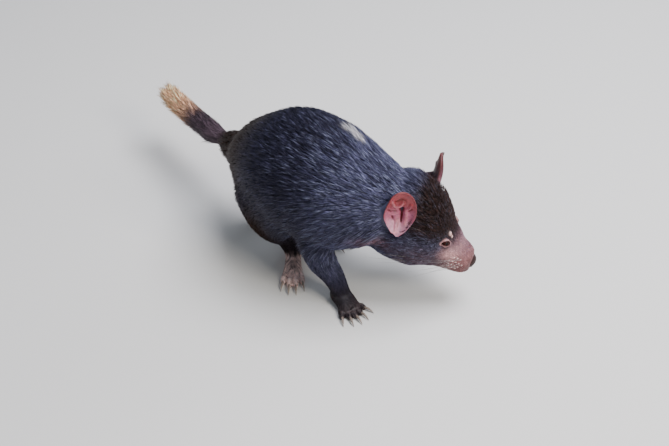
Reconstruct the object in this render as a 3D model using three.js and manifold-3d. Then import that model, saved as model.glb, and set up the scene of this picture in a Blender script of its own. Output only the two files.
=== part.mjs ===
// A Tasmanian devil, life size, walking slowly with its back arched and its head low and
// turned to its left. Millimetres, +Z up. The trunk heads along +X, and its left side is +Y.
import * as THREE from "three";
import { LoftGeometry } from "three/addons/geometries/LoftGeometry.js";
import { mergeVertices } from "three/addons/utils/BufferGeometryUtils.js";
import Module from "manifold-3d";

const wasm = await Module();
wasm.setup();

// Driving dimensions
const GAP = 0.3; // kept between neighbours that meet face to face
const HEAD_LENGTH = 143; // back of the skull to the tip of the nose
const HEAD_AT = new THREE.Vector3(148, 63, 138); // where the head's own axis leaves the neck
const HEAD_TURN = 24; // degrees to the animal's left of the trunk's heading
const HEAD_DIP = 27; // degrees below the level
const EYE_RADIUS = 6.4;
const EAR_LENGTH = 62;
const EAR_WIDTH = 44;
const EAR_WALL = 2.6;
const SHOULDER_HALF_WIDTH = 83;

const COAT = new THREE.MeshStandardMaterial({ color: 0x16141a, roughness: 0.62, metalness: 0 });
const EAR_SKIN = new THREE.MeshStandardMaterial({ color: 0x9c4a48, roughness: 0.6, metalness: 0 });
const NOSE_SKIN = new THREE.MeshStandardMaterial({ color: 0x2a2024, roughness: 0.35, metalness: 0 });
const EYE_GLOSS = new THREE.MeshStandardMaterial({ color: 0x0b0705, roughness: 0.05, metalness: 0 });
const PAW_SKIN = new THREE.MeshStandardMaterial({ color: 0x5a4242, roughness: 0.6, metalness: 0 });
const BRUSH_HAIR = new THREE.MeshStandardMaterial({ color: 0x6d5148, roughness: 0.7, metalness: 0 });

const radians = THREE.MathUtils.degToRad;
const vec = (x, y, z) => new THREE.Vector3(x, y, z);
const UP = vec(0, 0, 1);
const FORWARD = vec(1, 0, 0);

// Smooth forms: rings of points round a curve through a few stations. Each station is
// [x, y, z, half width, rise, drop], and squareness under 1 makes a ring boxier.
class Form {
  constructor(stations, { rings, sides, reference = UP, squareness = 1 }) {
    const pick = (i) => stations.map((s) => vec(...s.slice(i, i + 3)));
    this.centres = new THREE.CatmullRomCurve3(pick(0), false, "catmullrom", 0.5);
    this.sizes = new THREE.CatmullRomCurve3(pick(3), false, "catmullrom", 0.5);
    Object.assign(this, { rings, sides, reference, squareness });
  }
  frame(t) {
    const along = this.centres.getTangent(t);
    const up = this.reference.clone().addScaledVector(along, -this.reference.dot(along)).normalize();
    return { at: this.centres.getPoint(t), along, up, side: up.clone().cross(along) };
  }
  point(t, angle, grow = 0) {
    const { at, up, side } = this.frame(t);
    const [width, rise, drop] = this.sizes.getPoint(t).toArray();
    const bent = (v) => Math.sign(v) * Math.abs(v) ** this.squareness;
    const across = bent(Math.cos(angle)) * (width + grow);
    const height = bent(Math.sin(angle)) * ((Math.sin(angle) > 0 ? rise : drop) + grow);
    return at.addScaledVector(side, across).addScaledVector(up, height);
  }
  geometry(grow = 0) {
    const sections = [];
    for (let i = 0; i <= this.rings; i++) {
      const ring = [];
      for (let j = 0; j < this.sides; j++)
        ring.push(this.point(i / this.rings, (j / this.sides) * 2 * Math.PI, grow));
      if (i === 0 || i === this.rings) {
        const { along } = this.frame(i / this.rings);
        ring.forEach((p) => p.addScaledVector(along, i ? grow : -grow));
      }
      sections.push(ring);
    }
    return new LoftGeometry(sections, { capStart: true, capEnd: true });
  }
}

// Solids for cutting and joining
function solidOf(geometry, matrix = new THREE.Matrix4()) {
  const bare = new THREE.BufferGeometry().copy(geometry).applyMatrix4(matrix);
  bare.deleteAttribute("normal");
  bare.deleteAttribute("uv");
  const merged = mergeVertices(bare, 1e-3);
  return new wasm.Manifold(
    new wasm.Mesh({
      numProp: 3,
      vertProperties: new Float32Array(merged.attributes.position.array),
      triVerts: new Uint32Array(merged.index.array),
    }),
  );
}
const joined = (solids) => solids.reduce((a, b) => a.add(b));
function largest(solid) {
  return solid.decompose().reduce((a, b) => (b.volume() > a.volume() ? b : a));
}
const group = new THREE.Group();
function addNode(name, solid, material) {
  const mesh = largest(solid).getMesh();
  const geometry = new THREE.BufferGeometry();
  geometry.setAttribute("position", new THREE.BufferAttribute(mesh.vertProperties, 3));
  geometry.setIndex(new THREE.BufferAttribute(mesh.triVerts, 1));
  geometry.computeVertexNormals();
  const made = new THREE.Mesh(geometry, material);
  made.name = name;
  group.add(made);
}
// A frame set at a point: turn is about +Z, dip tips the +X axis down, roll is about that axis.
function placed(at, turn = 0, dip = 0, roll = 0) {
  const turned = new THREE.Quaternion().setFromEuler(
    new THREE.Euler(radians(roll), radians(dip), radians(turn), "ZYX"),
  );
  return new THREE.Matrix4().compose(at, turned, vec(1, 1, 1));
}
function ballAt(at, radii, around = new THREE.Matrix4(), facets = 12) {
  const shape = new THREE.SphereGeometry(1, facets, Math.round(facets * 0.7));
  shape.scale(radii.x, radii.y, radii.z).translate(at.x, at.y, at.z);
  return solidOf(shape, around);
}

// Trunk: rump, back, chest and neck in one form, parted into torso and neck with a thin cut
const trunk = new Form(
  [
    [-134, 30, 132, 16, 14, 16],
    [-116, 29, 138, 32, 30, 33],
    [-84, 27, 148, 51, 44, 50],
    [-36, 19, 166, 71, 70, 73],
    [20, 13, 176, 86, 97, 92],
    [74, 19, 174, 87, 97, 98],
    [108, 31, 166, SHOULDER_HALF_WIDTH, 83, 92],
    [134, 45, 155, 71, 73, 76],
    [154, 59, 142, 56, 70, 60],
    [168, 70, 133, 36, 54, 42],
  ],
  { rings: 24, sides: 28 },
);
const NECK_CUT = 0.74; // where along the trunk's curve the neck starts
const trunkSolid = solidOf(trunk.geometry());
const trunkGrown = solidOf(trunk.geometry(3 * GAP));
const neckStart = trunk.frame(NECK_CUT);
const neckStartAt = neckStart.at.dot(neckStart.along);
const torso = trunkSolid.trimByPlane(
  neckStart.along.clone().negate().toArray(),
  GAP / 2 - neckStartAt,
);
addNode("torso", torso, COAT);

// Head, in its own frame: x from the neck towards the nose, y to the left, z up
const headPlace = placed(HEAD_AT, HEAD_TURN, HEAD_DIP);
const headForm = new Form(
  [
    [-22, 0, 4, 30, 32, 30],
    [-8, 0, 4, 54, 66, 52],
    [16, 0, 4, 62, 75, 60],
    [44, 0, 4, 60, 71, 58],
    [72, 0, 3, 50, 55, 48],
    [94, 0, 2, 37, 37, 36],
    [112, 0, 0, 29, 26, 27],
    [128, 0, 0, 24, 21, 21],
    [HEAD_LENGTH - 5, 0, 1, 18, 16, 16],
    [HEAD_LENGTH, 0, 2, 8, 8, 8],
  ],
  { rings: 22, sides: 24, squareness: 0.92 },
);
const headGrown = solidOf(headForm.geometry(GAP), headPlace);
const neck = trunkSolid
  .trimByPlane(neckStart.along.toArray(), neckStartAt + GAP / 2)
  .subtract(headGrown);
addNode("neck", neck, COAT);

// Forms under the skin of the face, each with a twin on the other side
const FACE_SWELLS = [
  { at: [78, 23, 28], radii: [20, 12, 11] }, // brow above the eye
  { at: [124, 12, -3], radii: [15, 12, 12] }, // whisker pad
  { at: [114, 6, -15], radii: [22, 10, 9] }, // lower jaw and chin
];
const EYE_AT = [88.5, 26, 27.5];
const LID = 1.8;
const LID_OPENING = [5, 6.8, 3.1]; // how deep, long and high the almond between the lids is
const MOUTH_CORE = 0.92; // share of the head left whole inside the line of the mouth

const skull = solidOf(headForm.geometry());
const swells = FACE_SWELLS.flatMap(({ at: [x, y, z], radii }) =>
  [y, -y].map((side) => ballAt(vec(x, side, z), vec(...radii), undefined, 12)),
);
const eyeSides = [1, -1].map((side) => vec(EYE_AT[0], side * EYE_AT[1], EYE_AT[2]));
const allRound = (radius) => vec(radius, radius, radius);
const lids = eyeSides.map((at) => ballAt(at, allRound(EYE_RADIUS + LID), undefined, 14));
const fleshed = joined([skull, ...swells, ...lids]);

// Mouth: a groove round the muzzle, rising a little at the corners like a closed smile
const mouthPath = new THREE.CatmullRomCurve3(
  [[84, -20], [98, -17], [116, -11.5], [130, -10], [HEAD_LENGTH + 8, -11]].map(
    ([x, z]) => vec(x, 0, z),
  ),
);
const mouthSheet = new LoftGeometry(
  mouthPath.getSpacedPoints(10).map((p, i) => {
    const half = 0.35 + 0.045 * i;
    return [[40, half], [-40, half], [-40, -half], [40, -half]].map(([y, z]) =>
      vec(p.x, y, p.z + z),
    );
  }),
  { capStart: true, capEnd: true },
);
const inner = fleshed.translate([-EYE_AT[0], 0, 0]).scale(MOUTH_CORE).translate([EYE_AT[0], 0, 0]);
const mouth = solidOf(mouthSheet).subtract(inner);

const eyeHollows = eyeSides.flatMap((at) => {
  const outwards = placed(at, Math.sign(at.y) * 60, -40);
  return [
    ballAt(at, allRound(EYE_RADIUS + GAP), undefined, 14),
    ballAt(vec(EYE_RADIUS + 1, 0, 0), vec(...LID_OPENING), outwards, 18),
  ];
});
const head = joined([mouth, ...eyeHollows]);
const headSolid = fleshed.subtract(head).transform(headPlace.toArray());
addNode("head", headSolid, COAT);
eyeSides.forEach((at, i) => {
  const name = i ? "eye_right" : "eye_left";
  addNode(name, ballAt(at, allRound(EYE_RADIUS), headPlace, 12), EYE_GLOSS);
});

// Nose: a bare pad over the tip, with a nostril to each side
const pad = joined([
  ballAt(vec(HEAD_LENGTH - 2.5, 0, 4), vec(8, 11.5, 9), undefined, 12),
  ballAt(vec(HEAD_LENGTH - 2, 0, -4), vec(5, 3.4, 6), undefined, 8),
]);
const nostrils = [1, -1].map((side) =>
  ballAt(vec(7, 0, 0), vec(6, 2.6, 2), placed(vec(HEAD_LENGTH - 0.5, side * 3, 4), side * 38), 8),
);
const nose = pad.subtract(joined(nostrils)).transform(headPlace.toArray());
const fleshGrown = joined([
  headGrown,
  ...FACE_SWELLS.flatMap(({ at: [x, y, z], radii }) =>
    [y, -y].map((side) =>
      ballAt(vec(x, side, z), vec(...radii).addScalar(2 * GAP), headPlace, 14),
    ),
  ),
]);
addNode("nose", nose.subtract(fleshGrown), NOSE_SKIN);

// Ears: a leaf-shaped cup each, in its own frame with x out of the cup and z up to the rim
const EAR_RINGS = 10;
const EAR_SIDES = 8;
function earCup() {
  const sections = [];
  for (let i = 0; i <= EAR_RINGS; i++) {
    const t = 1 - (1 - i / EAR_RINGS) ** 1.6;
    const height = EAR_LENGTH * (t * 1.16 - 0.16);
    const half = (EAR_WIDTH / 2) * Math.sqrt(1 - (Math.abs(t - 0.5) / 0.52) ** 2.4);
    const depth = 15 * (1 - t) + 3;
    const wall = EAR_WALL * (1.25 - 0.7 * t);
    const arc = (j) => (j / EAR_SIDES) * 2 - 1;
    const ring = [];
    for (let j = 0; j <= EAR_SIDES; j++)
      ring.push(vec(-depth * (1 - arc(j) ** 2), -half * arc(j), height));
    for (let j = EAR_SIDES; j >= 0; j--)
      ring.push(vec(wall - (depth - wall) * (1 - arc(j) ** 2), -(half - wall * 0.2) * arc(j), height));
    sections.push(ring);
  }
  return solidOf(new LoftGeometry(sections, { capStart: true, capEnd: true }));
}
const EARS = {
  ear_right: { base: vec(19, -59, 30), turn: -72, dip: -14, roll: 20 },
  ear_left: { base: vec(47, 45, 37.5), turn: 15, dip: -24, roll: -16 },
};
for (const [name, { base, turn, dip, roll }] of Object.entries(EARS)) {
  const folds = [
    ballAt(vec(-7, 6, 20), vec(4, 2.6, 15), undefined, 10),
    ballAt(vec(-5, -8, 16), vec(4, 3, 10), undefined, 10),
  ];
  const cup = joined([earCup(), ...folds])
    .transform(placed(base, turn, dip, roll).toArray())
    .transform(headPlace.toArray())
    .subtract(fleshGrown)
    .subtract(trunkGrown);
  addNode(name, cup, EAR_SKIN);
}

// Tail: a thick short-haired root, then a brush of long locks that widens to a frayed tip
const ROOT_END = -168;
const tailRoot = new Form(
  [
    [-112, 28, 138, 22, 22, 22],
    [-134, 32, 133, 16.5, 16.5, 16.5],
    [-152, 36, 129, 13, 13, 13],
    [-170, 40, 125, 11.5, 11.5, 11.5],
  ],
  { rings: 8, sides: 16 },
);
addNode(
  "tail_root",
  solidOf(tailRoot.geometry()).subtract(trunkGrown).trimByPlane([1, 0, 0], ROOT_END),
  COAT,
);

// The brush's outline, and the core that its locks are rooted in
const brush = new Form(
  [
    [-160, 38, 127, 12.5, 12.5, 12.5],
    [-176, 41, 124, 13, 13, 13],
    [-226, 52, 117, 14.5, 14.5, 14.5],
    [-280, 64, 113, 17, 17, 17],
    [-330, 76, 113, 18.5, 18.5, 18.5],
    [-366, 84, 115, 11, 11, 11],
  ],
  { rings: 14, sides: 14 },
);
const core = new Form(
  [
    [-160, 38, 127, 11.5, 11.5, 11.5],
    [-176, 41, 124, 10.5, 10.5, 10.5],
    [-226, 52, 117, 8, 8, 8],
    [-280, 64, 113, 6.5, 6.5, 6.5],
    [-316, 72, 113, 3, 3, 3],
  ],
  { rings: 9, sides: 9 },
);
let seed = 7;
function random(low, high) {
  seed = (seed * 1664525 + 1013904223) % 4294967296;
  return low + ((high - low) * seed) / 4294967296;
}
const LOCK_LENGTH = 66;
const LOCK_WIDTH = 11.5;
const LOCK_THICKNESS = 3.6;
const LOCK_ROWS = 6;
const LOCKS_A_ROW = 6;
const BRUSH_RUN = 208; // along the brush's curve
// One lock: its root in the core at a share of the brush's length, swept back to the outline
function lock(from, angle, length) {
  const path = [0, 0.3, 0.65, 1].map((share) => {
    const t = Math.min(1, from + (length * share) / BRUSH_RUN);
    const { at, up, side, along } = brush.frame(t);
    const reach = brush.sizes.getPoint(t).x * [0.4, 0.86, 0.96, 1][Math.round(share * 3)];
    const turned = angle + share * random(-0.16, 0.16);
    const out = side.clone().multiplyScalar(Math.cos(turned)).addScaledVector(up, Math.sin(turned));
    const past = Math.max(0, from * BRUSH_RUN + length * share - BRUSH_RUN);
    return at.addScaledVector(out, reach).addScaledVector(along, past);
  });
  const shares = [0.7, 1, 0.75, 0.12];
  const { up, side } = brush.frame(from);
  const outwards = side.multiplyScalar(Math.cos(angle)).addScaledVector(up, Math.sin(angle));
  const stations = path.map((p, i) => [
    ...p.toArray(),
    (LOCK_WIDTH / 2) * shares[i],
    (LOCK_THICKNESS / 2) * shares[i],
    (LOCK_THICKNESS / 2) * shares[i],
  ]);
  return solidOf(new Form(stations, { rings: 4, sides: 4, reference: outwards }).geometry());
}
const locks = [];
for (let row = 0; row < LOCK_ROWS; row++)
  for (let i = 0; i < LOCKS_A_ROW; i++) {
    const angle = ((i + (row % 2) / 2) / LOCKS_A_ROW) * 2 * Math.PI + random(-0.12, 0.12);
    const from = 0.045 + (row / LOCK_ROWS) * 0.72 + random(-0.012, 0.012);
    locks.push(lock(from, angle, LOCK_LENGTH * random(0.85, 1.1)));
  }
addNode(
  "tail_brush",
  joined([solidOf(core.geometry()), ...locks]).trimByPlane([-1, 0, 0], -(ROOT_END - GAP)),
  BRUSH_HAIR,
);

// Legs, from inside the trunk down to the wrist or ankle
const LEGS = {
  front_right_leg: [
    [92, 4, 168, 26, 28, 28],
    [90, -12, 136, 30, 34, 34],
    [88, -20, 108, 26, 27, 30],
    [98, -24, 74, 21, 20, 22],
    [116, -18, 46, 16, 16, 17],
    [128, -14, 14, 14, 13, 14],
  ],
  front_left_leg: [
    [88, 56, 168, 26, 28, 28],
    [78, 70, 136, 30, 34, 34],
    [60, 80, 108, 26, 27, 30],
    [30, 82, 74, 21, 20, 22],
    [14, 80, 46, 16, 16, 17],
    [6, 78, 14, 14, 13, 14],
  ],
  hind_right_leg: [
    [-32, 4, 168, 28, 36, 30],
    [-26, -16, 138, 40, 42, 33],
    [-16, -22, 108, 34, 36, 31],
    [0, -22, 80, 24, 26, 29],
    [8, -4, 52, 17, 17, 20],
    [16, 2, 14, 13, 13, 14],
  ],
  hind_left_leg: [
    [-42, 38, 168, 28, 36, 30],
    [-38, 56, 138, 40, 42, 34],
    [-38, 62, 108, 34, 37, 33],
    [-48, 66, 80, 24, 26, 29],
    [-70, 66, 52, 17, 17, 20],
    [-80, 66, 14, 13, 13, 14],
  ],
};
const LEG_END = 22; // height where a leg meets its paw
for (const [name, stations] of Object.entries(LEGS)) {
  const form = new Form(stations, { rings: 10, sides: 18, reference: FORWARD });
  const solid = solidOf(form.geometry())
    .subtract(trunkGrown)
    .trimByPlane([0, 0, 1], LEG_END + GAP);
  addNode(name, solid, COAT);
}

// Paws, in their own frame: x towards the toes, z up from the floor
const toe = (from, turn, length, radius) => {
  const spread = placed(from, turn);
  const digit = new Form(
    [
      [-8, 0, 2, radius, radius, radius],
      [length * 0.45, 0, 1.5, radius * 0.95, radius, radius],
      [length * 0.85, 0, -0.5, radius * 0.85, radius * 0.9, radius * 0.95],
      [length, 0, -1, radius * 0.4, radius * 0.4, radius * 0.5],
    ],
    { rings: 3, sides: 8 },
  );
  const claw = new Form(
    [
      [length * 0.8, 0, 1, 2, 2.2, 2],
      [length + 3, 0, 1.5, 1.8, 2, 1.8],
      [length + 8, 0, 0, 1.2, 1.3, 1.2],
      [length + 12.5, 0, -3.2, 0.5, 0.5, 0.4],
    ],
    { rings: 3, sides: 5 },
  );
  return solidOf(digit.geometry(), spread).add(solidOf(claw.geometry(), spread));
};
function paw(name, { at, heading, sole, toes, length, radius }) {
  const place = placed(at, heading);
  const pad = new Form(sole, { rings: 7, sides: 12, squareness: 0.9 });
  const [front, , , halfWidth] = sole[sole.length - 1];
  const digits = toes.map((turn, i) => {
    const share = (i / (toes.length - 1)) * 2 - 1;
    const from = vec(front - 4 - 5 * share ** 2, share * (halfWidth - 1), radius - 0.4);
    return toe(from, turn, length * (1 - 0.12 * share ** 2), radius);
  });
  const solid = joined([solidOf(pad.geometry()), ...digits])
    .transform(place.toArray())
    .trimByPlane([0, 0, 1], 0)
    .trimByPlane([0, 0, -1], -LEG_END);
  addNode(name, solid, PAW_SKIN);
}
const FRONT_SOLE = [
  [-16, 0, 14, 8, 9, 9],
  [-8, 0, 14, 14, 14, 14.5],
  [8, 0, 12, 15, 13, 12.5],
  [22, 0, 9, 15.5, 8, 9.4],
  [29, 0, 7.5, 13.5, 5, 7],
];
const HIND_SOLE = [
  [-22, 0, 12, 7.5, 8, 9],
  [-12, 0, 14, 12, 14.5, 14.4],
  [8, 0, 12, 12, 12.5, 12],
  [26, 0, 9, 13, 8.5, 9.4],
  [36, 0, 7.5, 12, 5, 7],
];
const FRONT_TOES = { toes: [-26, -12, 0, 12, 28], length: 20, radius: 4.3 };
const HIND_TOES = { toes: [-9, -3, 3, 10], length: 31, radius: 4 };
paw("front_right_paw", { at: vec(128, -14, 0), heading: -16, sole: FRONT_SOLE, ...FRONT_TOES });
paw("front_left_paw", { at: vec(6, 78, 0), heading: 4, sole: FRONT_SOLE, ...FRONT_TOES });
paw("hind_right_paw", { at: vec(16, 2, 0), heading: -48, sole: HIND_SOLE, ...HIND_TOES });
paw("hind_left_paw", { at: vec(-80, 66, 0), heading: 6, sole: HIND_SOLE, ...HIND_TOES });

// The origin sits under the middle of the bounding box, at the floor
const box = new THREE.Box3().setFromObject(group);
const middle = box.getCenter(new THREE.Vector3());
group.children.forEach(({ geometry }) => geometry.translate(-middle.x, -middle.y, -box.min.z));

export default group;
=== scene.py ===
import math

import bmesh
import bpy
import numpy as np
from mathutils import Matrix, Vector, kdtree


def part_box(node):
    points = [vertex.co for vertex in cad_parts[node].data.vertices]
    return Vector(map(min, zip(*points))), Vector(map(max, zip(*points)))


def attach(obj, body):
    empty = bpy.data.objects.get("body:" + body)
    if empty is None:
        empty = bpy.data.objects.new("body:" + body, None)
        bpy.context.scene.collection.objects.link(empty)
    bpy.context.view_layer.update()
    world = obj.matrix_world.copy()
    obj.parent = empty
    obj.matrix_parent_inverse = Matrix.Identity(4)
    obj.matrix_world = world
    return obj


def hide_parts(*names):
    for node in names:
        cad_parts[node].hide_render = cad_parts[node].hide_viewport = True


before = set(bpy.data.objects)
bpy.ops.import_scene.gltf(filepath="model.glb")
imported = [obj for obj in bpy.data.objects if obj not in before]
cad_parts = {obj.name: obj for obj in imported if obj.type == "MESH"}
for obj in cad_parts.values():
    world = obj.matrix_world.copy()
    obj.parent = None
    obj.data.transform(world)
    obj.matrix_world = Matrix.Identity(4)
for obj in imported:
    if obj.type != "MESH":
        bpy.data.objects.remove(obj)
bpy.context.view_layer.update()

# Camera, floor and light. The photograph looks down on the animal from its right front, so the
# camera stands there, high up. A pale floor and three broad soft lamps stand in for open shade
# under a bright sky. Places are in the body's own millimetres, set by the left eye of the frame.
EYE_FROM_NECK_MM = np.array([88.5, 26.0, 27.5])
HEAD_AT_MM = np.array([148.0, 63.0, 138.0])
HEAD_TURN, HEAD_DIP = math.radians(24), math.radians(27)


def turned(turn, dip=0.0, roll=0.0):
    """Rotation that rolls about x, tips x down by dip, then turns about z."""
    ct, st, cd, sd, cr, sr = (f(v) for v in (turn, dip, roll) for f in (math.cos, math.sin))
    about_z = np.array([[ct, -st, 0], [st, ct, 0], [0, 0, 1.0]])
    about_y = np.array([[cd, 0, sd], [0, 1.0, 0], [-sd, 0, cd]])
    about_x = np.array([[1.0, 0, 0], [0, cr, -sr], [0, sr, cr]])
    return about_z @ about_y @ about_x


HEAD_AXES = turned(HEAD_TURN, HEAD_DIP)
eye_low, eye_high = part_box("eye_left")
eye_centre = np.array((eye_low + eye_high) / 2) * 1000
ORIGIN_MM = eye_centre - (HEAD_AT_MM + HEAD_AXES @ EYE_FROM_NECK_MM)


def metres(points_mm):
    """Points in the body's own millimetres, placed in the row frame in metres."""
    return (np.asarray(points_mm, float) + ORIGIN_MM) / 1000


CAMERA_TARGET_MM = (88, 16, 110)
CAMERA_AZIMUTH, CAMERA_HEIGHT = math.radians(42), math.radians(40)
CAMERA_DISTANCE, NEAREST_SEEN = 1.7, 0.05  # metres
LENS_MM, SENSOR_MM = 63.1, 36
target = Vector(metres(CAMERA_TARGET_MM))
camera_back = Vector(
    (
        math.sin(CAMERA_AZIMUTH) * math.cos(CAMERA_HEIGHT),
        -math.cos(CAMERA_AZIMUTH) * math.cos(CAMERA_HEIGHT),
        math.sin(CAMERA_HEIGHT),
    )
)
camera_data = bpy.data.cameras.new("camera")
camera_data.sensor_width = SENSOR_MM
camera_data.lens = LENS_MM
camera_data.clip_start = NEAREST_SEEN
camera = bpy.data.objects.new("camera", camera_data)
camera.location = target + camera_back * CAMERA_DISTANCE
camera.rotation_euler = camera_back.to_track_quat("Z", "Y").to_euler()
bpy.context.scene.collection.objects.link(camera)
bpy.context.scene.camera = camera


def srgb(hex_colour, alpha=1.0):
    """Linear colour from an sRGB hex value."""
    parts = [int(hex_colour[i : i + 2], 16) / 255 for i in (1, 3, 5)]
    return (*(p / 12.92 if p <= 0.04045 else ((p + 0.055) / 1.055) ** 2.4 for p in parts), alpha)


def add_node(tree, kind, settings=None, **links):
    """A shader node with its settings; links names an input and the output that feeds it."""
    made = tree.nodes.new(kind)
    for key, value in (settings or {}).items():
        if key in made.inputs:
            made.inputs[key].default_value = value
        else:
            setattr(made, key, value)
    for key, source in links.items():
        socket = made.inputs[int(key[1:])] if key[0] == "_" else made.inputs[key.replace("_", " ")]
        tree.links.new(source, socket)
    return made


def new_material(name):
    """A material with only its output node, and that node."""
    material = bpy.data.materials.new(name)
    material.use_nodes = True
    material.node_tree.nodes.clear()
    return material, add_node(material.node_tree, "ShaderNodeOutputMaterial")


# Floor paint, rolled on and matt: an even pale grey that takes soft contact shadows and
# gives back no glare
floor_paint, out = new_material("matt_floor_paint")
shader = add_node(
    floor_paint.node_tree,
    "ShaderNodeBsdfPrincipled",
    {"Base Color": srgb("#d9d8d4"), "Roughness": 0.9, "Specular IOR Level": 0.2},
)
floor_paint.node_tree.links.new(shader.outputs[0], out.inputs[0])
FLOOR_SIZE = 14  # metres, wide enough to fill every view
bpy.ops.mesh.primitive_plane_add(size=FLOOR_SIZE, location=(target.x, target.y, 0))
floor = bpy.context.object
floor.name = "studio_floor"
floor.data.materials.append(floor_paint)

SKY_COLOUR, SKY_STRENGTH = srgb("#dfe6f2"), 0.42
world = bpy.data.worlds.new("studio_air")
world.use_nodes = True
sky = world.node_tree.nodes["Background"]
sky.inputs["Color"].default_value = SKY_COLOUR
sky.inputs["Strength"].default_value = SKY_STRENGTH
bpy.context.scene.world = world
LAMPS = {  # place from the target in metres, watts, size, colour
    "sky_lamp": ((0.5, 0.5, 2.2), 92, 1.4, "#f6f6ff"),
    "sun_lamp": ((1.9, -0.1, 1.6), 40, 0.8, "#fff8ee"),
    "rim_lamp": ((0.4, 2.1, 1.2), 16, 1.2, "#eaf1ff"),
}
for name, (place, watts, size, colour) in LAMPS.items():
    lamp = bpy.data.lights.new(name, "AREA")
    lamp.energy, lamp.size, lamp.color = watts, size, srgb(colour)[:3]
    lamp_object = bpy.data.objects.new(name, lamp)
    lamp_object.location = target + Vector(place)
    lamp_object.rotation_euler = Vector(place).to_track_quat("Z", "Y").to_euler()
    bpy.context.scene.collection.objects.link(lamp_object)

# Skin of the whole animal, one hide from the muzzle to the core of the tail and the toes.
# It is drawn over the same smooth forms as the flesh, pulled in by the depth of the coat,
# welded into one surface, then eased so that no join shows.
TRUNK = [  # stations along each form: x, y, z, half width, rise and drop, in millimetres
    (-134, 30, 132, 16, 14, 16),
    (-116, 29, 138, 32, 30, 33),
    (-84, 27, 148, 51, 44, 50),
    (-36, 19, 166, 71, 70, 73),
    (20, 13, 176, 86, 97, 92),
    (74, 19, 174, 87, 97, 98),
    (108, 31, 166, 83, 83, 92),
    (134, 45, 155, 71, 73, 76),
    (154, 59, 142, 56, 70, 60),
    (168, 70, 133, 36, 54, 42),
]
HEAD = [
    (-22, 0, 4, 30, 32, 30),
    (-8, 0, 4, 54, 66, 52),
    (16, 0, 4, 62, 75, 60),
    (44, 0, 4, 60, 71, 58),
    (72, 0, 3, 50, 55, 48),
    (94, 0, 2, 37, 37, 36),
    (112, 0, 0, 29, 26, 27),
    (128, 0, 0, 24, 21, 21),
    (138, 0, 1, 18, 16, 16),
    (143, 0, 2, 8, 8, 8),
]
TAIL = [
    (-112, 28, 138, 22, 22, 22),
    (-134, 32, 133, 16.5, 16.5, 16.5),
    (-152, 36, 129, 13, 13, 13),
    (-176, 41, 124, 10.5, 10.5, 10.5),
    (-226, 52, 117, 8, 8, 8),
    (-280, 64, 113, 6.5, 6.5, 6.5),
    (-322, 74, 113, 3, 3, 3),
]
LEGS = {
    "front_right": [
        (92, 4, 168, 26, 28, 28),
        (90, -12, 136, 30, 34, 34),
        (88, -20, 108, 26, 27, 30),
        (98, -24, 74, 21, 20, 22),
        (116, -18, 46, 16, 16, 17),
        (128, -14, 20, 14, 13, 14),
        (130, -14, 11, 12, 12, 12),
    ],
    "front_left": [
        (88, 56, 168, 26, 28, 28),
        (78, 70, 136, 30, 34, 34),
        (60, 80, 108, 26, 27, 30),
        (30, 82, 74, 21, 20, 22),
        (14, 80, 46, 16, 16, 17),
        (6, 78, 20, 14, 13, 14),
        (7, 78, 11, 12, 12, 12),
    ],
    "hind_right": [
        (-32, 4, 168, 28, 36, 30),
        (-26, -16, 138, 40, 42, 33),
        (-16, -22, 108, 34, 36, 31),
        (0, -22, 80, 24, 26, 29),
        (8, -4, 52, 17, 17, 20),
        (16, 2, 22, 13, 13, 14),
        (17, 1, 12, 11, 11, 12),
    ],
    "hind_left": [
        (-42, 38, 168, 28, 36, 30),
        (-38, 56, 138, 40, 42, 34),
        (-38, 62, 108, 34, 37, 33),
        (-48, 66, 80, 24, 26, 29),
        (-70, 66, 52, 17, 17, 20),
        (-80, 66, 22, 13, 13, 14),
        (-79, 66, 12, 11, 11, 12),
    ],
}
FRONT_SOLE = [
    (-16, 0, 14, 8, 9, 9),
    (-8, 0, 14, 14, 14, 14),
    (8, 0, 12, 15, 12, 12),
    (22, 0, 9, 15.5, 8, 9),
    (29, 0, 7.5, 13.5, 5, 7),
]
HIND_SOLE = [
    (-22, 0, 12, 7.5, 8, 9),
    (-12, 0, 14, 12, 14, 14),
    (8, 0, 12, 12, 12, 12),
    (26, 0, 9, 13, 8, 9),
    (36, 0, 7.5, 12, 5, 7),
]
PAWS = {  # place, heading, sole, turn of each toe, toe length, toe radius
    "front_right": ((128, -14, 0), -16, FRONT_SOLE, (-26, -12, 0, 12, 28), 20, 4.3),
    "front_left": ((6, 78, 0), 4, FRONT_SOLE, (-26, -12, 0, 12, 28), 20, 4.3),
    "hind_right": ((16, 2, 0), -48, HIND_SOLE, (-9, -3, 3, 10), 31, 4.0),
    "hind_left": ((-80, 66, 0), 6, HIND_SOLE, (-9, -3, 3, 10), 31, 4.0),
}
COAT_DEPTH = {"trunk": 7.0, "leg": 3.0}  # how far the skin lies under the outside of the coat
HEAD_GROW = (-3.5, -3.5, -3.2, -2, -0.6, 0.3, 0.6)  # from neck to nose, where the hair is short
TAIL_GROW = (5, 3.5, 1, -1, -1, -1.5, -1.5)  # stout where it leaves the rump, slim in the brush
LEG_GROW = -0.5


def along_curve(points, t):
    """Points on a smooth curve through the given ones; t runs from 0 to 1."""
    points = np.asarray(points, float)
    padded = np.vstack([2 * points[0] - points[1], points, 2 * points[-1] - points[-2]])
    reach = np.clip(t, 0, 1) * (len(points) - 1)
    i = np.minimum(reach.astype(int), len(points) - 2)
    u = (reach - i)[:, None]
    a, b, c, d = (padded[i + k] for k in range(4))
    t0, t1 = (c - a) / 2, (d - b) / 2
    return b + t0 * u + (3 * (c - b) - 2 * t0 - t1) * u**2 + (2 * (b - c) + t0 + t1) * u**3


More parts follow.
